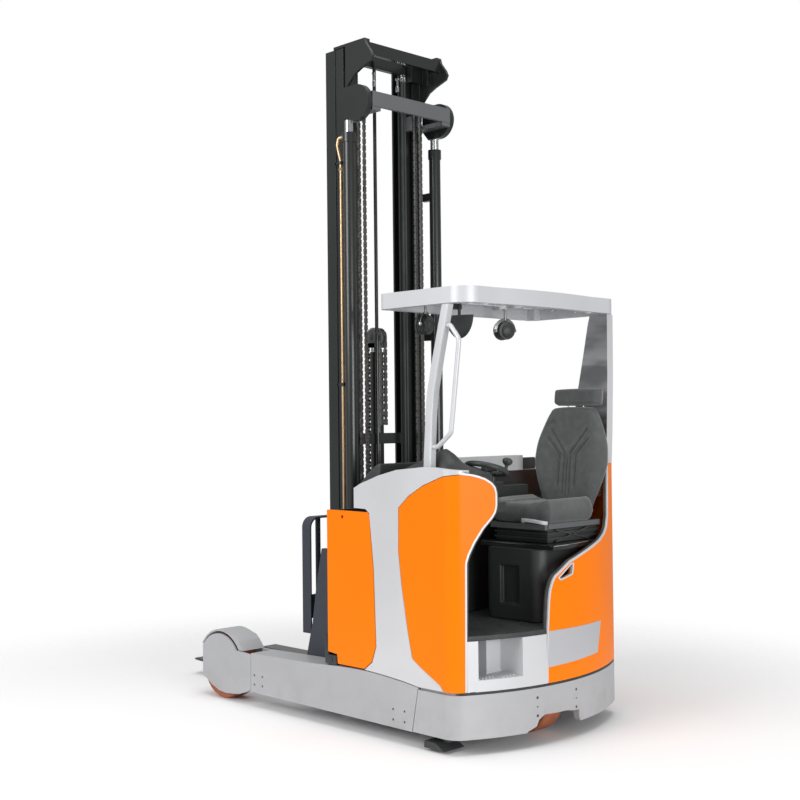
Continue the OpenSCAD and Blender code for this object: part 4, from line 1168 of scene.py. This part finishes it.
# %% [markdown]
# ## Floor, light and camera
# The truck stands in a white studio: the floor and the background are white, large soft lamps stand on the
# left, behind the camera and overhead, and only a soft shadow shows where it stands. The background is
# white as the camera sees it and dimmer as a light, so that it doesn't wash the truck out.

# %% The white studio
def studio_floor():
    """White floor whose alpha falls to 0 between 1.6 and 3.6 m out, where the white background shows."""
    f = Finish("studio_floor")
    far = (f.axis("X") ** 2.0 + f.axis("Y") ** 2.0) ** 0.5
    f.set(base_color=(0.88, 0.88, 0.885, 1.0), roughness=0.9, alpha=1.0 - far.ramp(1.6, 3.6))
    f.shader.inputs["Specular IOR Level"].default_value = 0.0
    return f.material


floor_size = 60.0
floor_mesh = bpy.data.meshes.new("floor")
corners = [(x * floor_size, y * floor_size, 0) for x, y in ((-1, -1), (1, -1), (1, 1), (-1, 1))]
floor_mesh.from_pydata(corners, [], [(0, 1, 2, 3)])
floor_mesh.materials.append(studio_floor())
floor = bpy.data.objects.new("floor", floor_mesh)
bpy.context.scene.collection.objects.link(floor)

world = bpy.data.worlds.new("studio")
bpy.context.scene.world = world
world.use_nodes = True
sky = world.node_tree.nodes["Background"]
seen = add_node(world.node_tree, "ShaderNodeLightPath", output="Is Camera Ray")
through = add_node(world.node_tree, "ShaderNodeLightPath", output="Is Transmission Ray")
seen = seen.maths("MAXIMUM", seen, through)
world.node_tree.links.new((seen * 0.58 + 0.42).socket, sky.inputs["Strength"])
sky.inputs["Color"].default_value = (1.0, 1.0, 1.0, 1.0)


def softbox(name, place, aim, width, height, watts):
    """A rectangular lamp that looks at a point."""
    data = bpy.data.lights.new(name, "AREA")
    data.shape, data.size, data.size_y, data.energy = "RECTANGLE", width, height, watts
    lamp = bpy.data.objects.new(name, data)
    bpy.context.scene.collection.objects.link(lamp)
    lamp.location = place
    lamp.rotation_mode = "QUATERNION"
    lamp.rotation_quaternion = (Vector(aim) - Vector(place)).to_track_quat("-Z", "Y")


softbox("key_left", (-7.0, 0.6, 4.2), (0.0, 0.0, 1.2), 4.0, 4.0, 270.0)
softbox("fill_rear", (-1.5, -7.5, 1.6), (0.0, 0.0, 0.9), 4.0, 2.6, 230.0)
softbox("overhead", (-0.5, -1.0, 7.0), (0.0, 0.0, 0.0), 5.0, 5.0, 270.0)
print("lamps:", len(bpy.data.lights))

# %% The camera
# its place, turn and lens were worked out from the truck's own sizes in the photograph
camera_at = at(-4873.1, -3948.6, 1573.8)
yaw, pitch, roll = 0.7744, 0.0158, -0.0106
lens_pixels, frame_pixels, sensor_width = 1248.6, 800, 36.0
forward = np.array([math.sin(yaw) * math.cos(pitch), math.cos(yaw) * math.cos(pitch), math.sin(pitch)])
right = np.array([math.cos(yaw), -math.sin(yaw), 0.0])
up = np.cross(right, forward)
side = math.cos(roll) * right + math.sin(roll) * up
top = math.cos(roll) * up - math.sin(roll) * right
camera = bpy.data.objects.new("camera", bpy.data.cameras.new("camera"))
bpy.context.scene.collection.objects.link(camera)
camera.matrix_world = Matrix([*np.stack([side, top, -forward, camera_at], 1).tolist(), [0, 0, 0, 1]])
camera.data.sensor_width = sensor_width
camera.data.lens = lens_pixels / frame_pixels * sensor_width
camera.data.clip_end = 200.0
bpy.context.scene.camera = camera
bpy.context.scene.view_settings.view_transform = "Standard"
print("camera lens", round(camera.data.lens, 2), "mm")
